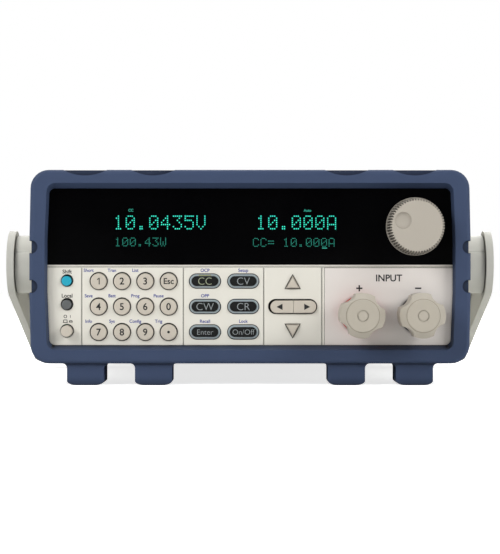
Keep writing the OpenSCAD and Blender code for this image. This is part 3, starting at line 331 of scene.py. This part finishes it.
def add_cross(mesh, head, facing, level, turn):
    """The two bars of painted shade that stand for a cross recess on a screw head, at the turn where the
    screw came to rest.
    """
    at = Vector(head) + Vector(facing) * cross_lift
    for angle in (turn, turn + math.pi / 2):
        reach = (Vector(level) * math.cos(angle) + Vector((0, 0, 1)) * math.sin(angle)) * cross_reach
        add_bar(mesh, at - reach, at + reach, cross_width, facing)


def middle(name):
    """The middle of a CAD node's box."""
    low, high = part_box(name)
    return (low + high) / 2


# Four screws hold the rear panel by its corners, four the fan with its guard, and two the inlet.
head_height = 1.8 * mm
corner_in = 6 * mm
corner_up = 8 * mm
fitting_thick = 3 * mm
inlet_hole = 20 * mm
fan_hole_share = 0.447
rear_face = rear_high.y
cover_low, cover_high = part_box("case_cover")
fan_low, fan_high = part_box("fan_frame")
fan_middle = middle("fan_frame")
fan_hole = fan_hole_share * (fan_high.x - fan_low.x)
inlet_middle = middle("mains_inlet")
on_fitting = rear_face + fitting_thick + head_height
rear_heads = [(x, rear_face + head_height, z)
              for x in (rear_low.x + corner_in, rear_high.x - corner_in)
              for z in (cover_low.z + corner_up, cover_high.z - corner_up)]
rear_heads += [(fan_middle.x + sx * fan_hole, on_fitting, fan_middle.z + sz * fan_hole)
               for sx in (-1, 1) for sz in (-1, 1)]
rear_heads += [(inlet_middle.x + sx * inlet_hole, on_fitting, inlet_middle.z) for sx in (-1, 1)]
# Three more along each side hold the cover to the base pan, between the bumpers.
side_up = 7 * mm
panel_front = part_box("front_panel")[0].y
bumper_low, bumper_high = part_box("front_bumper")
free_side = rear_face - panel_front - 2 * (bumper_high.y - bumper_low.y)
side_heads = [(x, bumper_high.y + share * free_side, cover_low.z + side_up)
              for x in (cover_low.x - head_height, cover_high.x + head_height)
              for share in (0.12, 0.5, 0.88)]
crosses = bmesh.new()
for head in rear_heads:
    add_cross(crosses, head, facing=(0, 1, 0), level=(1, 0, 0), turn=0.35)
for head in side_heads:
    add_cross(crosses, head, facing=(math.copysign(1, head[0]), 0, 0), level=(0, 1, 0), turn=0.6)
piece_of("screw_recess_painted_shade", crosses, painted_recess_shade, "chassis")


# Front panel: one ABS moulding with a fine spark-eroded grain, in warm white. It closes the mouth of
# the case, carries the keys and the window, and is printed with small dark and blue legends.
# Grained ABS is matt, with painted shade in every groove and gap. The plate below the posts is a shade
# warmer.
panel_plastic = grained("spark_grained_abs", "#d8d5cb", roughness=0.55, grain_mm=0.45, depth_mm=0.03,
                        mottle=0.012, painted_shade_mm=2.2)
plate_plastic = grained("warm_white_abs", "#d9d3ce", roughness=0.5, grain_mm=0.45, depth_mm=0.03,
                        mottle=0.012, painted_shade_mm=2.2)
paint(panel_plastic, "front_panel")
paint(plate_plastic, "terminal_plate")
# Screen ink is a thin matt film, a little uneven in strength.
dark_ink = grained("dark_grey_ink", "#121314", roughness=0.6, grain_mm=0.3, depth_mm=0.004, mottle=0.1,
                   cloud_mm=3.0)
blue_ink = grained("blue_ink", "#36428f", roughness=0.6, grain_mm=0.3, depth_mm=0.004, mottle=0.1,
                   cloud_mm=3.0)
ink_thickness = 0.03 * mm
letter_width = 0.98
# Words and round pieces are drawn flat and then stood up, to face the front.
stand_up = Matrix.Rotation(math.radians(90), 3, "X")


def flat_word(text, bold):
    """A word in the plain typeface as a thin mesh, one metre to the letter, with its strokes thickened."""
    curve = bpy.data.curves.new("word", "FONT")
    curve.body = text
    curve.align_x = "CENTER"
    curve.offset = bold
    holder = bpy.data.objects.new("word", curve)
    scene.collection.objects.link(holder)
    bpy.context.view_layer.update()
    mesh = bpy.data.meshes.new_from_object(holder.evaluated_get(bpy.context.evaluated_depsgraph_get()))
    bpy.data.objects.remove(holder)
    return mesh


capital = max(v.co.y for v in flat_word("H", 0.0).vertices)


def lettering(words, face_y, bold=0.018):
    """Printed words in front of a face. Each is its text, its middle in X and Z and its capitals' height."""
    mesh = bmesh.new()
    for text, x, z, height in words:
        scale = height / capital
        flat = bmesh.new()
        flat.from_mesh(flat_word(text, bold))
        bmesh.ops.remove_doubles(flat, verts=flat.verts, dist=1e-5)
        bmesh.ops.scale(flat, vec=(letter_width * scale, scale, scale), verts=flat.verts)
        bmesh.ops.translate(flat, vec=(0.0, -height / 2, 0.0), verts=flat.verts)
        bmesh.ops.rotate(flat, cent=(0, 0, 0), matrix=stand_up, verts=flat.verts)
        bmesh.ops.translate(flat, vec=(x, face_y - ink_thickness, z), verts=flat.verts)
        word_data = bpy.data.meshes.new("word")
        flat.to_mesh(word_data)
        flat.free()
        mesh.from_mesh(word_data)
    return mesh


def add_strokes(mesh, strokes, x, z, face_y):
    """Straight printed strokes: each is its two ends and its width, in millimetres from X and Z."""
    for x0, z0, x1, z1, width in strokes:
        start = (x + x0 * mm, face_y - ink_thickness, z + z0 * mm)
        end = (x + x1 * mm, face_y - ink_thickness, z + z1 * mm)
        add_bar(mesh, start, end, width * mm, (0, -1, 0))


# Blue words stand over the keys: to the left on the pad, and in the middle on the mode keys.
blue_height = 1.6 * mm
over_key = 5.55 * mm
beside_key = -5.2 * mm
blue_words = [("Short", "key_1"), ("Tran", "key_2"), ("List", "key_3"), ("Save", "key_4"),
              ("Batt", "key_5"), ("Prog", "key_6"), ("Pause", "key_0"), ("Info", "key_7"),
              ("Sys", "key_8"), ("Config", "key_9"), ("Trig", "key_dot")]
blue_mode_words = [("OCP", "cc_key"), ("Setup", "cv_key"), ("OPP", "cw_key"), ("Recall", "enter_key"),
                   ("Lock", "on_off_key")]
blue_print = [(word, middle(key).x + beside_key, middle(key).z + over_key, blue_height)
              for word, key in blue_words]
blue_print += [(word, middle(key).x, middle(key).z + over_key, blue_height)
               for word, key in blue_mode_words]
piece_of("blue_legends", lettering(blue_print, panel_front, bold=0.02), blue_ink, "chassis")
# Dark words stand over the small buttons and the posts.
posts_middle = (middle("positive_nut") + middle("negative_nut")) / 2
power_at = middle("power_button")
dark_print = [("Shift", middle("shift_button").x, middle("shift_button").z + 4.6 * mm, 1.9 * mm),
              ("Local", middle("local_button").x, middle("local_button").z + 4.4 * mm, 1.9 * mm),
              ("O", power_at.x - 0.9 * mm, power_at.z + 7.4 * mm, 1.6 * mm),
              ("I", power_at.x + 1.7 * mm, power_at.z + 7.4 * mm, 1.3 * mm),
              ("INPUT", posts_middle.x, posts_middle.z + 18.9 * mm, 3.35 * mm)]
dark_legends = lettering(dark_print, panel_front)
# Below O and I, a raised outline for the button standing out and a flat one for the button pushed in.
out_mark = ((-2.2, 4.3, 0.4, 4.3, 0.35), (-1.8, 4.3, -1.8, 5.6, 0.35), (-1.8, 5.6, 0.0, 5.6, 0.35),
            (0.0, 5.6, 0.0, 4.3, 0.35))
in_mark = ((0.9, 4.5, 2.9, 4.5, 0.35), (1.2, 5.2, 2.6, 5.2, 0.35), (1.2, 5.2, 1.2, 4.5, 0.35),
           (2.6, 5.2, 2.6, 4.5, 0.35))
add_strokes(dark_legends, out_mark + in_mark, power_at.x, power_at.z, panel_front)
# A plus and a minus over the posts; the minus is the plus without its upright.
plus_mark = ((-1.6, 0, 1.6, 0, 0.75), (0, -1.6, 0, 1.6, 0.75))
signs_z = posts_middle.z + 13.6 * mm
add_strokes(dark_legends, plus_mark, posts_middle.x - 15.2 * mm, signs_z, panel_front)
add_strokes(dark_legends, plus_mark[:1], posts_middle.x + 15.1 * mm, signs_z, panel_front)
piece_of("dark_legends", dark_legends, dark_ink, "chassis")


# Window: a flat sheet of gloss black acrylic let in flush above the keys, with the fluorescent
# display behind it. Lit characters are five dots wide and seven high, in two sizes.
# Gloss acrylic gives a deep black, with a gloss that is uneven where a cloth has wiped it.
window_black, tree, out = new_material("gloss_black_acrylic")
window_place = add(tree, "ShaderNodeTexCoord").outputs["Object"]
wiped = add(tree, "ShaderNodeTexNoise", {"Scale": 1000 / 30, "Detail": 3.0}, {"Vector": window_place})
gloss = add(tree, "ShaderNodeMapRange", {"To Min": 0.08, "To Max": 0.16}, {"Value": wiped.outputs["Fac"]})
shader = add(tree, "ShaderNodeBsdfPrincipled",
             {"Base Color": linear("#020203"), "Specular IOR Level": 0.15},
             {"Roughness": gloss.outputs["Result"]})
tree.links.new(shader.outputs[0], out.inputs[0])
paint(window_black, "display_window")
# The glass of the display is smooth and greenish.
display_glass = grained("display_glass", "#3a6a5a", roughness=0.12, grain_mm=4.0, depth_mm=0.002,
                        mottle=0.1)
paint(display_glass, "display_module")

# Each character is seven rows of five dots, from the top down, and a gap of one dot follows it.
character_dots = {
    "0": "01110 10001 10011 10101 11001 10001 01110", "1": "00100 01100 00100 00100 00100 00100 01110",
    "3": "11111 00010 00100 00010 00001 10001 01110", "4": "00010 00110 01010 10010 11111 00010 00010",
    "5": "11111 10000 11110 00001 00001 10001 01110", ".": "00000 00000 00000 00000 00000 01100 01100",
    "V": "10001 10001 10001 10001 10001 01010 00100", "A": "01110 10001 10001 10001 11111 10001 10001",
    "W": "10001 10001 10001 10101 10101 10101 01010", "C": "01110 10001 10000 10000 10000 10001 01110",
    "=": "00000 00000 11111 00000 11111 00000 00000", " ": "00000 00000 00000 00000 00000 00000 00000",
}
dot_rows = 7
dot_columns = 6
dot_share = 0.54
dot_thick = 0.04 * mm
window_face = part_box("display_window")[0].y


def dot_matrix(text, left, top, height, pitch):
    """Lit dots of a line of characters in front of the window, from its top left corner."""
    mesh = bmesh.new()
    row = height / dot_rows
    column = pitch / dot_columns
    size = Matrix.Diagonal((column * dot_share, dot_thick, row * dot_share, 1.0))
    for count, character in enumerate(text):
        for down, dots in enumerate(character_dots[character].split()):
            for along, dot in enumerate(dots):
                if dot == "1":
                    x = left + count * pitch + (along + 0.5) * column
                    z = top - (down + 0.5) * row
                    at = Matrix.Translation((x, window_face, z))
                    bmesh.ops.create_cube(mesh, size=1.0, matrix=at @ size)
    return mesh


def phosphor(name, colour, strength):
    """A lit surface of one colour, a little uneven from dot to dot."""
    material, tree, out = new_material(name)
    place = add(tree, "ShaderNodeTexCoord").outputs["Object"]
    uneven = add(tree, "ShaderNodeTexNoise", {"Scale": 1000 / 3.0}, {"Vector": place})
    level = add(tree, "ShaderNodeMapRange", {"To Min": 0.8 * strength, "To Max": 1.2 * strength},
                {"Value": uneven.outputs["Fac"]})
    glow = add(tree, "ShaderNodeEmission", {"Color": linear(colour)}, {"Strength": level.outputs["Result"]})
    tree.links.new(glow.outputs[0], out.inputs[0])
    return material


# Zinc oxide phosphor glows blue-green, and more weakly in the small characters.
bright = phosphor("bright_phosphor", "#3ce6c8", strength=1.4)
dim = phosphor("dim_phosphor", "#3fae98", strength=0.95)
# Height and pitch of the two sizes of character.
big = (7.6 * mm, 6.07 * mm)
fine = (4.7 * mm, 3.9 * mm)
# Each line is its text, the X and Z of its top left corner in millimetres, its size and its light.
readouts = (("volts_readout", "10.0435V", -70.3, 87.5, big, bright),
            ("amps_readout", "10.000A", 3.1, 87.5, big, bright),
            ("watts_readout", "100.43W", -69.8, 76.0, fine, dim),
            ("setting_readout", "CC= 10.000A", 1.4, 75.8, fine, dim))
for name, text, left, top, (height, pitch), light in readouts:
    line = dot_matrix(text, left * mm, top * mm, height, pitch)
    piece_of(name, line, light, "chassis")
# Small fixed marks stand over the figures, and the digit that the dial changes is underlined.
mark_height = 1.3 * mm
mark_words = [("CC", -61.4 * mm, 90.0 * mm, mark_height), ("Auto", 29.6 * mm, 89.9 * mm, mark_height)]
marks = lettering(mark_words, window_face)
add_strokes(marks, ((-1.3, 0, 1.3, 0, 0.5),), 38.4 * mm, 70.5 * mm, window_face)
piece_of("display_marks", marks, dim, "chassis")


# Keys: moulded caps that stand through round, oblong and three-cornered holes in the panel, each on a
# rubber dome. The legend is printed on the cap and moves with it.
# Keycap plastic is matt and even in colour; painted shade darkens it where it dips into its hole.
key_plastic = grained("matt_keycap_plastic", "#bdb5a8", roughness=0.5, grain_mm=0.4, depth_mm=0.02,
                      mottle=0.015, painted_shade_mm=1.2)
cyan_plastic = grained("cyan_keycap_plastic", "#0a9cb6", roughness=0.42, grain_mm=0.4, depth_mm=0.02,
                       mottle=0.02, painted_shade_mm=1.2)
grey_plastic = grained("dark_keycap_plastic", "#585b5c", roughness=0.45, grain_mm=0.4, depth_mm=0.02,
                       mottle=0.03, painted_shade_mm=1.2)
# The hidden flange is the edge of the rubber key mat. Its near-black colour is painted shade, which makes
# the gap round a cap read black.
flange_painted_shade = grained("painted_shade_flange_rubber", "#2b2a28", roughness=0.7, grain_mm=0.5, depth_mm=0.03,
                        mottle=0.06)
flange_out = 0.9 * mm
flange_thick = 1.0 * mm
flange_edge = 0.05 * mm
cap_depth = 4.3 * mm
cap_edge = 0.6 * mm
pad_slack = 0.12 * mm
button_slack = 0.24 * mm
stem_across = 4 * mm
stem_edge = 0.1 * mm


def round_ended_cap(at, width, height, front_y, depth, edge):
    """A cap with round ends and a rounded front edge, from a cylinder whose two halves are drawn apart."""
    segments = 48
    mesh = bmesh.new()
    upright = stand_up.to_4x4() @ Matrix.Rotation(math.pi / segments, 4, "Z")
    bmesh.ops.create_cone(mesh, cap_ends=True, segments=segments, radius1=height / 2, radius2=height / 2,
                          depth=depth, matrix=upright)
    for side in (-1, 1):
        half = [v for v in mesh.verts if v.co.x * side > 0]
        bmesh.ops.translate(mesh, verts=half, vec=(side * (width - height) / 2, 0, 0))
    rim = [e for e in mesh.edges if all(v.co.y < 0 for v in e.verts)]
    bmesh.ops.bevel(mesh, geom=rim, offset=edge, offset_type="OFFSET", segments=4, profile=0.5,
                    affect="EDGES", material=-1)
    bmesh.ops.translate(mesh, verts=mesh.verts, vec=(at.x, front_y + depth / 2, at.z))
    return mesh


def add_mesh(mesh, other):
    """Puts a second bmesh into the first."""
    data = bpy.data.meshes.new("added")
    other.to_mesh(data)
    other.free()
    mesh.from_mesh(data)


def flange_at(at, width, height, back_y):
    """The thin flange that holds a cap of this width and height behind the panel."""
    return round_ended_cap(at, width + 2 * flange_out, height + 2 * flange_out, back_y - flange_thick,
                           flange_thick, flange_edge)


round_keys = {"key_1": "1", "key_2": "2", "key_3": "3", "key_esc": "Esc", "key_4": "4", "key_5": "5",
              "key_6": "6", "key_0": "0", "key_7": "7", "key_8": "8", "key_9": "9", "key_dot": "•"}
figure_height = 3.4 * mm
esc_height = 2.9 * mm
# The figure one is a bare upright with a flag.
plain_one = ((0.35, -1.7, 0.35, 1.7, 0.5), (0.35, 1.5, -0.75, 0.75, 0.45))
caps = {name: (key_plastic, "key_beige") for name in round_keys}
caps.update({"shift_button": (cyan_plastic, "cyan"), "local_button": (grey_plastic, "dark_grey"),
             "power_button": (key_plastic, "key_beige")})
for node, (plastic, slot) in caps.items():
    low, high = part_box(node)
    at = middle(node)
    body = node + "_body"
    wide = high.x - low.x - 2 * flange_out
    deep = panel_front + cap_depth - low.y
    # A cap rests a little low in its hole, and the two small buttons also lie to the left in theirs.
    small_button = node in ("shift_button", "local_button")
    slack = button_slack if small_button else pad_slack
    rests_at = at - Vector((slack if small_button else 0, 0, slack))
    cap = round_ended_cap(rests_at, wide - 2 * slack, wide - 2 * slack, low.y, deep, cap_edge)
    if node == "power_button":
        stem_long = high.y - low.y - deep
        add_mesh(cap, round_ended_cap(at, stem_across, stem_across, low.y + deep, stem_long, stem_edge))
    else:
        flange = flange_at(at, wide, wide, high.y)
        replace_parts(piece_of(node + "_flange", flange, flange_painted_shade, body), node)
    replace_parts(piece_of(node + "_cap", cap, plastic, body), node)
    if node in round_keys:
        if node == "key_1":
            legend = bmesh.new()
            add_strokes(legend, plain_one, at.x, at.z, low.y)
        else:
            height = esc_height if node == "key_esc" else figure_height
            legend = lettering([(round_keys[node], at.x, at.z, height)], low.y)
        piece_of(node + "_legend", legend, dark_ink, body)


# Mode keys: oblong, moulded in two shots, a frosted ring that can light up and a black silicone cap that
# stands proud of it. The legend is printed pale on the cap.
# Frosted plastic has a milky, shallow glow and painted shade in its gaps, and silicone is a dead black that
# hardly shines.
ring_plastic = grained("frosted_ring_plastic", "#98a1a5", roughness=0.35, grain_mm=0.4, depth_mm=0.01,
                       mottle=0.03, settings={"Subsurface Weight": 0.1}, painted_shade_mm=1.0)
cap_rubber = grained("black_silicone_cap", "#0b0d0c", roughness=0.6, grain_mm=0.35, depth_mm=0.03,
                     mottle=0.08, settings={"Specular IOR Level": 0.25})
# Pale ink is thin on black. On the key in use, the ring's light is painted into the ink as a warmer tint.
cap_print = grained("pale_legend_ink", "#8a9092", roughness=0.5, grain_mm=0.3, depth_mm=0.004,
                    mottle=0.05, cloud_mm=3.0)
ring_light_painted_print = grained("painted_ring_light_ink", "#92997f", roughness=0.5, grain_mm=0.3, depth_mm=0.004, mottle=0.05,
                    cloud_mm=3.0)
mode_words = {"cc_key": ("CC", 3.7), "cv_key": ("CV", 3.7), "cw_key": ("CW", 3.7), "cr_key": ("CR", 3.7),
              "enter_key": ("Enter", 2.7), "on_off_key": ("On/Off", 2.7)}
ring_width = 0.95 * mm
ring_step = 0.7 * mm
ring_edge = 0.5 * mm
mode_cap_deep = 1.5 * mm
mode_cap_edge = 0.35 * mm
thin_strokes = -0.012
for node, (word, height) in mode_words.items():
    low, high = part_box(node)
    at = middle(node)
    body = node + "_body"
    wide = high.x - low.x - 2 * flange_out
    tall = high.z - low.z - 2 * flange_out
    step = low.y + ring_step
    flange = flange_at(at, wide, tall, high.y)
    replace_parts(piece_of(node + "_flange", flange, flange_painted_shade, body), node)
    ring = round_ended_cap(at, wide, tall, step, panel_front + cap_depth - step, ring_edge)
    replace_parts(piece_of(node + "_ring", ring, ring_plastic, body), node)
    cap = round_ended_cap(at, wide - 2 * ring_width, tall - 2 * ring_width, low.y, mode_cap_deep,
                          mode_cap_edge)
    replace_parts(piece_of(node + "_cap", cap, cap_rubber, body), node)
    legend = lettering([(word, at.x, at.z, height * mm)], low.y, thin_strokes)
    piece_of(node + "_legend", legend, ring_light_painted_print if node == "cc_key" else cap_print, body)
# The ring of the mode in use glows through at the top, in a dull yellow.
lamp_glow = phosphor("ring_lamp_glow", "#a9ad7c", strength=0.75)
lit_key = middle("cc_key")
lit_stroke = ((-3.2, 2.95, 3.2, 2.95, 0.45),)
ring_glow = bmesh.new()
add_strokes(ring_glow, lit_stroke, lit_key.x, lit_key.z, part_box("cc_key")[0].y + ring_step)
piece_of("cc_key_glow", ring_glow, lamp_glow, "cc_key_body")


# Cursor keys: two small triangles above and below a bar that is split in the middle, in the same matt
# plastic as the pad. The bar sits low and to the right in its hole, as its two halves share one hinge.
paint(key_plastic, "up_key", "down_key")
bar_right = 0.35 * mm
bar_down = 0.15 * mm
bar_play_wide = 0.8 * mm
bar_play_tall = 0.4 * mm
split_gap = 0.08 * mm
arrow_wide = 1.85 * mm
arrow_tall = 2.05 * mm
arrow_out = 6.6 * mm
cursor_x = middle("up_key").x
bar_low, bar_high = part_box("left_key")
bar_at = Vector((cursor_x + bar_right, 0, middle("left_key").z - bar_down))
hole_wide = 2 * (cursor_x - bar_low.x - flange_out)
hole_tall = bar_high.z - bar_low.z - 2 * flange_out
bar_deep = panel_front + cap_depth - bar_low.y
for node, way in (("left_key", -1), ("right_key", 1)):
    body = node + "_body"
    cap = round_ended_cap(bar_at, hole_wide - bar_play_wide, hole_tall - bar_play_tall, bar_low.y, bar_deep,
                          cap_edge)
    flange = flange_at(Vector((cursor_x, 0, middle(node).z)), hole_wide, hole_tall, bar_high.y)
    split = (bar_at.x + way * split_gap, 0, 0)
    for ending, half, material in (("_cap", cap, key_plastic), ("_flange", flange, flange_painted_shade)):
        bmesh.ops.bisect_plane(half, geom=half.verts[:] + half.edges[:] + half.faces[:], plane_co=split,
                               plane_no=(way, 0, 0), clear_inner=True)
        bmesh.ops.holes_fill(half, edges=[e for e in half.edges if e.is_boundary], sides=0)
        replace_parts(piece_of(node + ending, half, material, body), node)
    arrow = bmesh.new()
    bmesh.ops.create_circle(arrow, cap_ends=True, segments=3, radius=1.0)
    bmesh.ops.scale(arrow, vec=(arrow_wide, arrow_tall, 1.0), verts=arrow.verts)
    point = stand_up @ Matrix.Rotation(math.radians(-90 * way), 3, "Z")
    bmesh.ops.rotate(arrow, cent=(0, 0, 0), matrix=point, verts=arrow.verts)
    bmesh.ops.translate(arrow, verts=arrow.verts,
                        vec=(bar_at.x + way * arrow_out, bar_low.y - ink_thickness, bar_at.z))
    bmesh.ops.recalc_face_normals(arrow, faces=arrow.faces)
    piece_of(node + "_arrow", arrow, dark_ink, body)


# Dial: a toothed knob with a finger dimple, moulded in soft grey-beige plastic, pushed on the shaft of
# the encoder behind the window.
# Soft-touch plastic is matt, and painted shade makes the gaps between its teeth read as dark lines.
dial_plastic = grained("soft_touch_dial_plastic", "#a8a196", roughness=0.55, grain_mm=0.5, depth_mm=0.02,
                       mottle=0.02, painted_shade_mm=2.0, open_at=0.95, darkest=0.1)
# Real teeth are finer: they are drawn a millimetre and a half apart, so that they still show as teeth.
teeth = 60
around = 4 * teeth
hollow_r = 11 * mm
skirt_r = 15 * mm
skirt_up = 1.2 * mm
face_thick = 3 * mm
dial_low, dial_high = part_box("dial_knob")
dial_deep = dial_high.y - dial_low.y
dial = bmesh.new()


def next_ring(edges, tip, root, up):
    """Extrudes the open ring of the dial and gives its tooth tips and roots new radii, at a new height."""
    made = bmesh.ops.extrude_edge_only(dial, edges=edges)["geom"]
    for vert in (v for v in made if isinstance(v, bmesh.types.BMVert)):
        step = round(math.atan2(vert.co.y, vert.co.x) * around / math.tau) % 4
        radius = tip if step < 2 else root
        grown = radius / math.hypot(vert.co.x, vert.co.y)
        bmesh.ops.scale(dial, verts=[vert], vec=(grown, grown, 1.0))
        vert.co.z = up
    return [e for e in made if isinstance(e, bmesh.types.BMEdge)]


# The knob grows from the floor of its hollow back, out round the skirt and up the teeth to its face.
bmesh.ops.create_circle(dial, cap_ends=True, segments=around, radius=hollow_r)
bmesh.ops.translate(dial, verts=dial.verts, vec=(0, 0, dial_deep - face_thick))
open_ring = dial.edges[:]
for tip, root, up in ((hollow_r, hollow_r, 0.0), (skirt_r, skirt_r, 0.0), (skirt_r, skirt_r, skirt_up),
                      (14.6 * mm, 13.6 * mm, skirt_up), (13.9 * mm, 12.95 * mm, dial_deep - 0.5 * mm),
                      (13.55 * mm, 12.7 * mm, dial_deep)):
    open_ring = next_ring(open_ring, tip, root, up)
# The finger dimple is a round dish let into the face, left of the middle and above it.
dish_r = 4.35 * mm
dish_x = -7.3 * mm
dish_y = 2.7 * mm
dish = bmesh.ops.create_circle(dial, segments=48, radius=dish_r)["verts"]
bmesh.ops.translate(dial, verts=dish, vec=(dish_x, dish_y, dial_deep))
dish_ring = list(dict.fromkeys(e for v in dish for e in v.link_edges))
bmesh.ops.triangle_fill(dial, use_beauty=True, use_dissolve=False, edges=open_ring + dish_ring)
dish_middle = Matrix.Translation((-dish_x, -dish_y, 0))
# Each step narrows the ring by a share and sinks it by millimetres.
for narrower, sunk in ((0.97, 0.5), (0.9, 0.5), (0.8, 0.35), (0.6, 0.25), (0.4, 0.1)):
    made = bmesh.ops.extrude_edge_only(dial, edges=dish_ring)["geom"]
    dish = [v for v in made if isinstance(v, bmesh.types.BMVert)]
    dish_ring = [e for e in made if isinstance(e, bmesh.types.BMEdge)]
    bmesh.ops.scale(dial, verts=dish, vec=(narrower, narrower, 1.0), space=dish_middle)
    bmesh.ops.translate(dial, verts=dish, vec=(0, 0, -sunk * mm))
bmesh.ops.edgeloop_fill(dial, edges=dish_ring)
bmesh.ops.recalc_face_normals(dial, faces=dial.faces)
bmesh.ops.rotate(dial, cent=(0, 0, 0), matrix=stand_up, verts=dial.verts)
bmesh.ops.translate(dial, verts=dial.verts, vec=(middle("dial_knob").x, dial_high.y, middle("dial_knob").z))
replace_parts(piece_of("dial_moulding", dial, dial_plastic, "dial", sharp=24.0), "dial_knob")


# Binding posts: brass studs in coloured insulating collars, each with a clamp washer and a lobed finger
# nut of grey-beige nylon over a brass insert.
# Turned brass has a warm, clear shine. Moulded nylon is satin, with a clean colour and a little painted
# shade in its hollows.
brass = grained("turned_brass", "#c9a35a", roughness=0.25, grain_mm=0.8, depth_mm=0.008, mottle=0.08,
                cloud_mm=6.0, settings={"Metallic": 1.0})
red_nylon = grained("red_nylon", "#c2301f", roughness=0.4, grain_mm=0.6, depth_mm=0.02, mottle=0.03)
black_collar = grained("black_nylon", "#222224", roughness=0.42, grain_mm=0.6, depth_mm=0.02, mottle=0.08)
nut_nylon = grained("moulded_nut_nylon", "#aba497", roughness=0.45, grain_mm=0.6, depth_mm=0.02,
                    mottle=0.02, painted_shade_mm=1.2, darkest=0.85)
paint(brass, "post_studs")
paint(nickel_plate, "positive_washer", "negative_washer")
paint(red_nylon, "positive_insulator")
paint(black_collar, "negative_insulator")
paint(nut_nylon, "positive_nut", "negative_nut")
# A thin ring of painted shade runs round the crown of each nut, where the brass insert is pressed in.
seam_shade = grained("painted_shade_nut_seam", "#8d8779", roughness=0.6, grain_mm=0.5, depth_mm=0.01,
                     mottle=0.05)
seam_radii = (8.2 * mm, 8.45 * mm)
seam_back = 0.58 * mm
for node, body in (("positive_nut", "positive_finger_nut"), ("negative_nut", "negative_finger_nut")):
    seam = bmesh.new()
    for radius in seam_radii:
        bmesh.ops.create_circle(seam, segments=64, radius=radius)
    bmesh.ops.bridge_loops(seam, edges=seam.edges[:])
    bmesh.ops.rotate(seam, cent=(0, 0, 0), matrix=stand_up, verts=seam.verts)
    seam_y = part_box(node)[0].y + seam_back
    bmesh.ops.translate(seam, vec=(middle(node).x, seam_y, middle(node).z), verts=seam.verts)
    piece_of(node + "_seam", seam, seam_shade, body)


# Bumpers: two soft blue mouldings stretched over the ends of the case, with feet below, nests for
# another instrument's feet above, and finger notches down the sides.
# Moulded rubber is a dull blue that hardly shines; painted shade darkens it in its notches and under its
# lip.
bumper_rubber = grained("moulded_blue_rubber", "#37445f", roughness=0.62, grain_mm=0.6, depth_mm=0.05,
                        mottle=0.04, cloud_mm=15.0, settings={"Specular IOR Level": 0.22}, painted_shade_mm=5.0,
                        open_at=0.95, darkest=0.1, painted_shade_on="nest")
# The nests lie above the feet. Their hollows lie in shade, so their faces are marked for a deeper tone of
# painted shade.
foot_middles = (-84.5 * mm, -49.6 * mm, 49.6 * mm, 84.5 * mm)
nest_reach = 11.5 * mm
nest_deep = 3.2 * mm
for node in ("front_bumper", "rear_bumper"):
    mesh = copy_of(node)
    nest = mesh.faces.layers.float.new("nest")
    nest_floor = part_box(node)[1].z - nest_deep
    for face in mesh.faces:
        for foot in foot_middles:
            if all(abs(v.co.x - foot) < nest_reach and v.co.z > nest_floor for v in face.verts):
                face[nest] = 1.0
    piece = piece_of(node + "_rubber", mesh, bumper_rubber, "chassis", sharp=38.0)
    # The wide faces set the shading, so that no streaks run out from the corners of the nests.
    even = piece.modifiers.new("even_shading", "WEIGHTED_NORMAL")
    even.weight = 100
    even.keep_sharp = True
    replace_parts(piece, node)


# Handle: a bail bent round the case, moulded in light grey plastic, that turns on two fixed bosses
# screwed to the sides of the case.
# Light grey ABS has a soft satin look, and painted shade darkens it where the arms lie close to the case.
handle_plastic = grained("light_grey_abs", "#cac9c0", roughness=0.5, grain_mm=0.5, depth_mm=0.03,
                         mottle=0.02, painted_shade_mm=16.0, open_at=0.9, darkest=0.3)


def rounded_off(piece, width, segments):
    """Rounds the sharp edges of a piece."""
    bevel = piece.modifiers.new("rounded_edges", "BEVEL")
    bevel.width = width
    bevel.segments = segments
    bevel.limit_method = "ANGLE"
    bevel.angle_limit = math.radians(40)


bail = piece_of("bail_moulding", copy_of("handle"), handle_plastic, "bail", sharp=38.0)
rounded_off(bail, width=1.6 * mm, segments=3)
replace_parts(bail, "handle")
bosses = piece_of("pivot_bosses", copy_of("handle_bosses"), handle_plastic, "chassis",
                  sharp=38.0)
rounded_off(bosses, width=0.8 * mm, segments=2)
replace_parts(bosses, "handle_bosses")
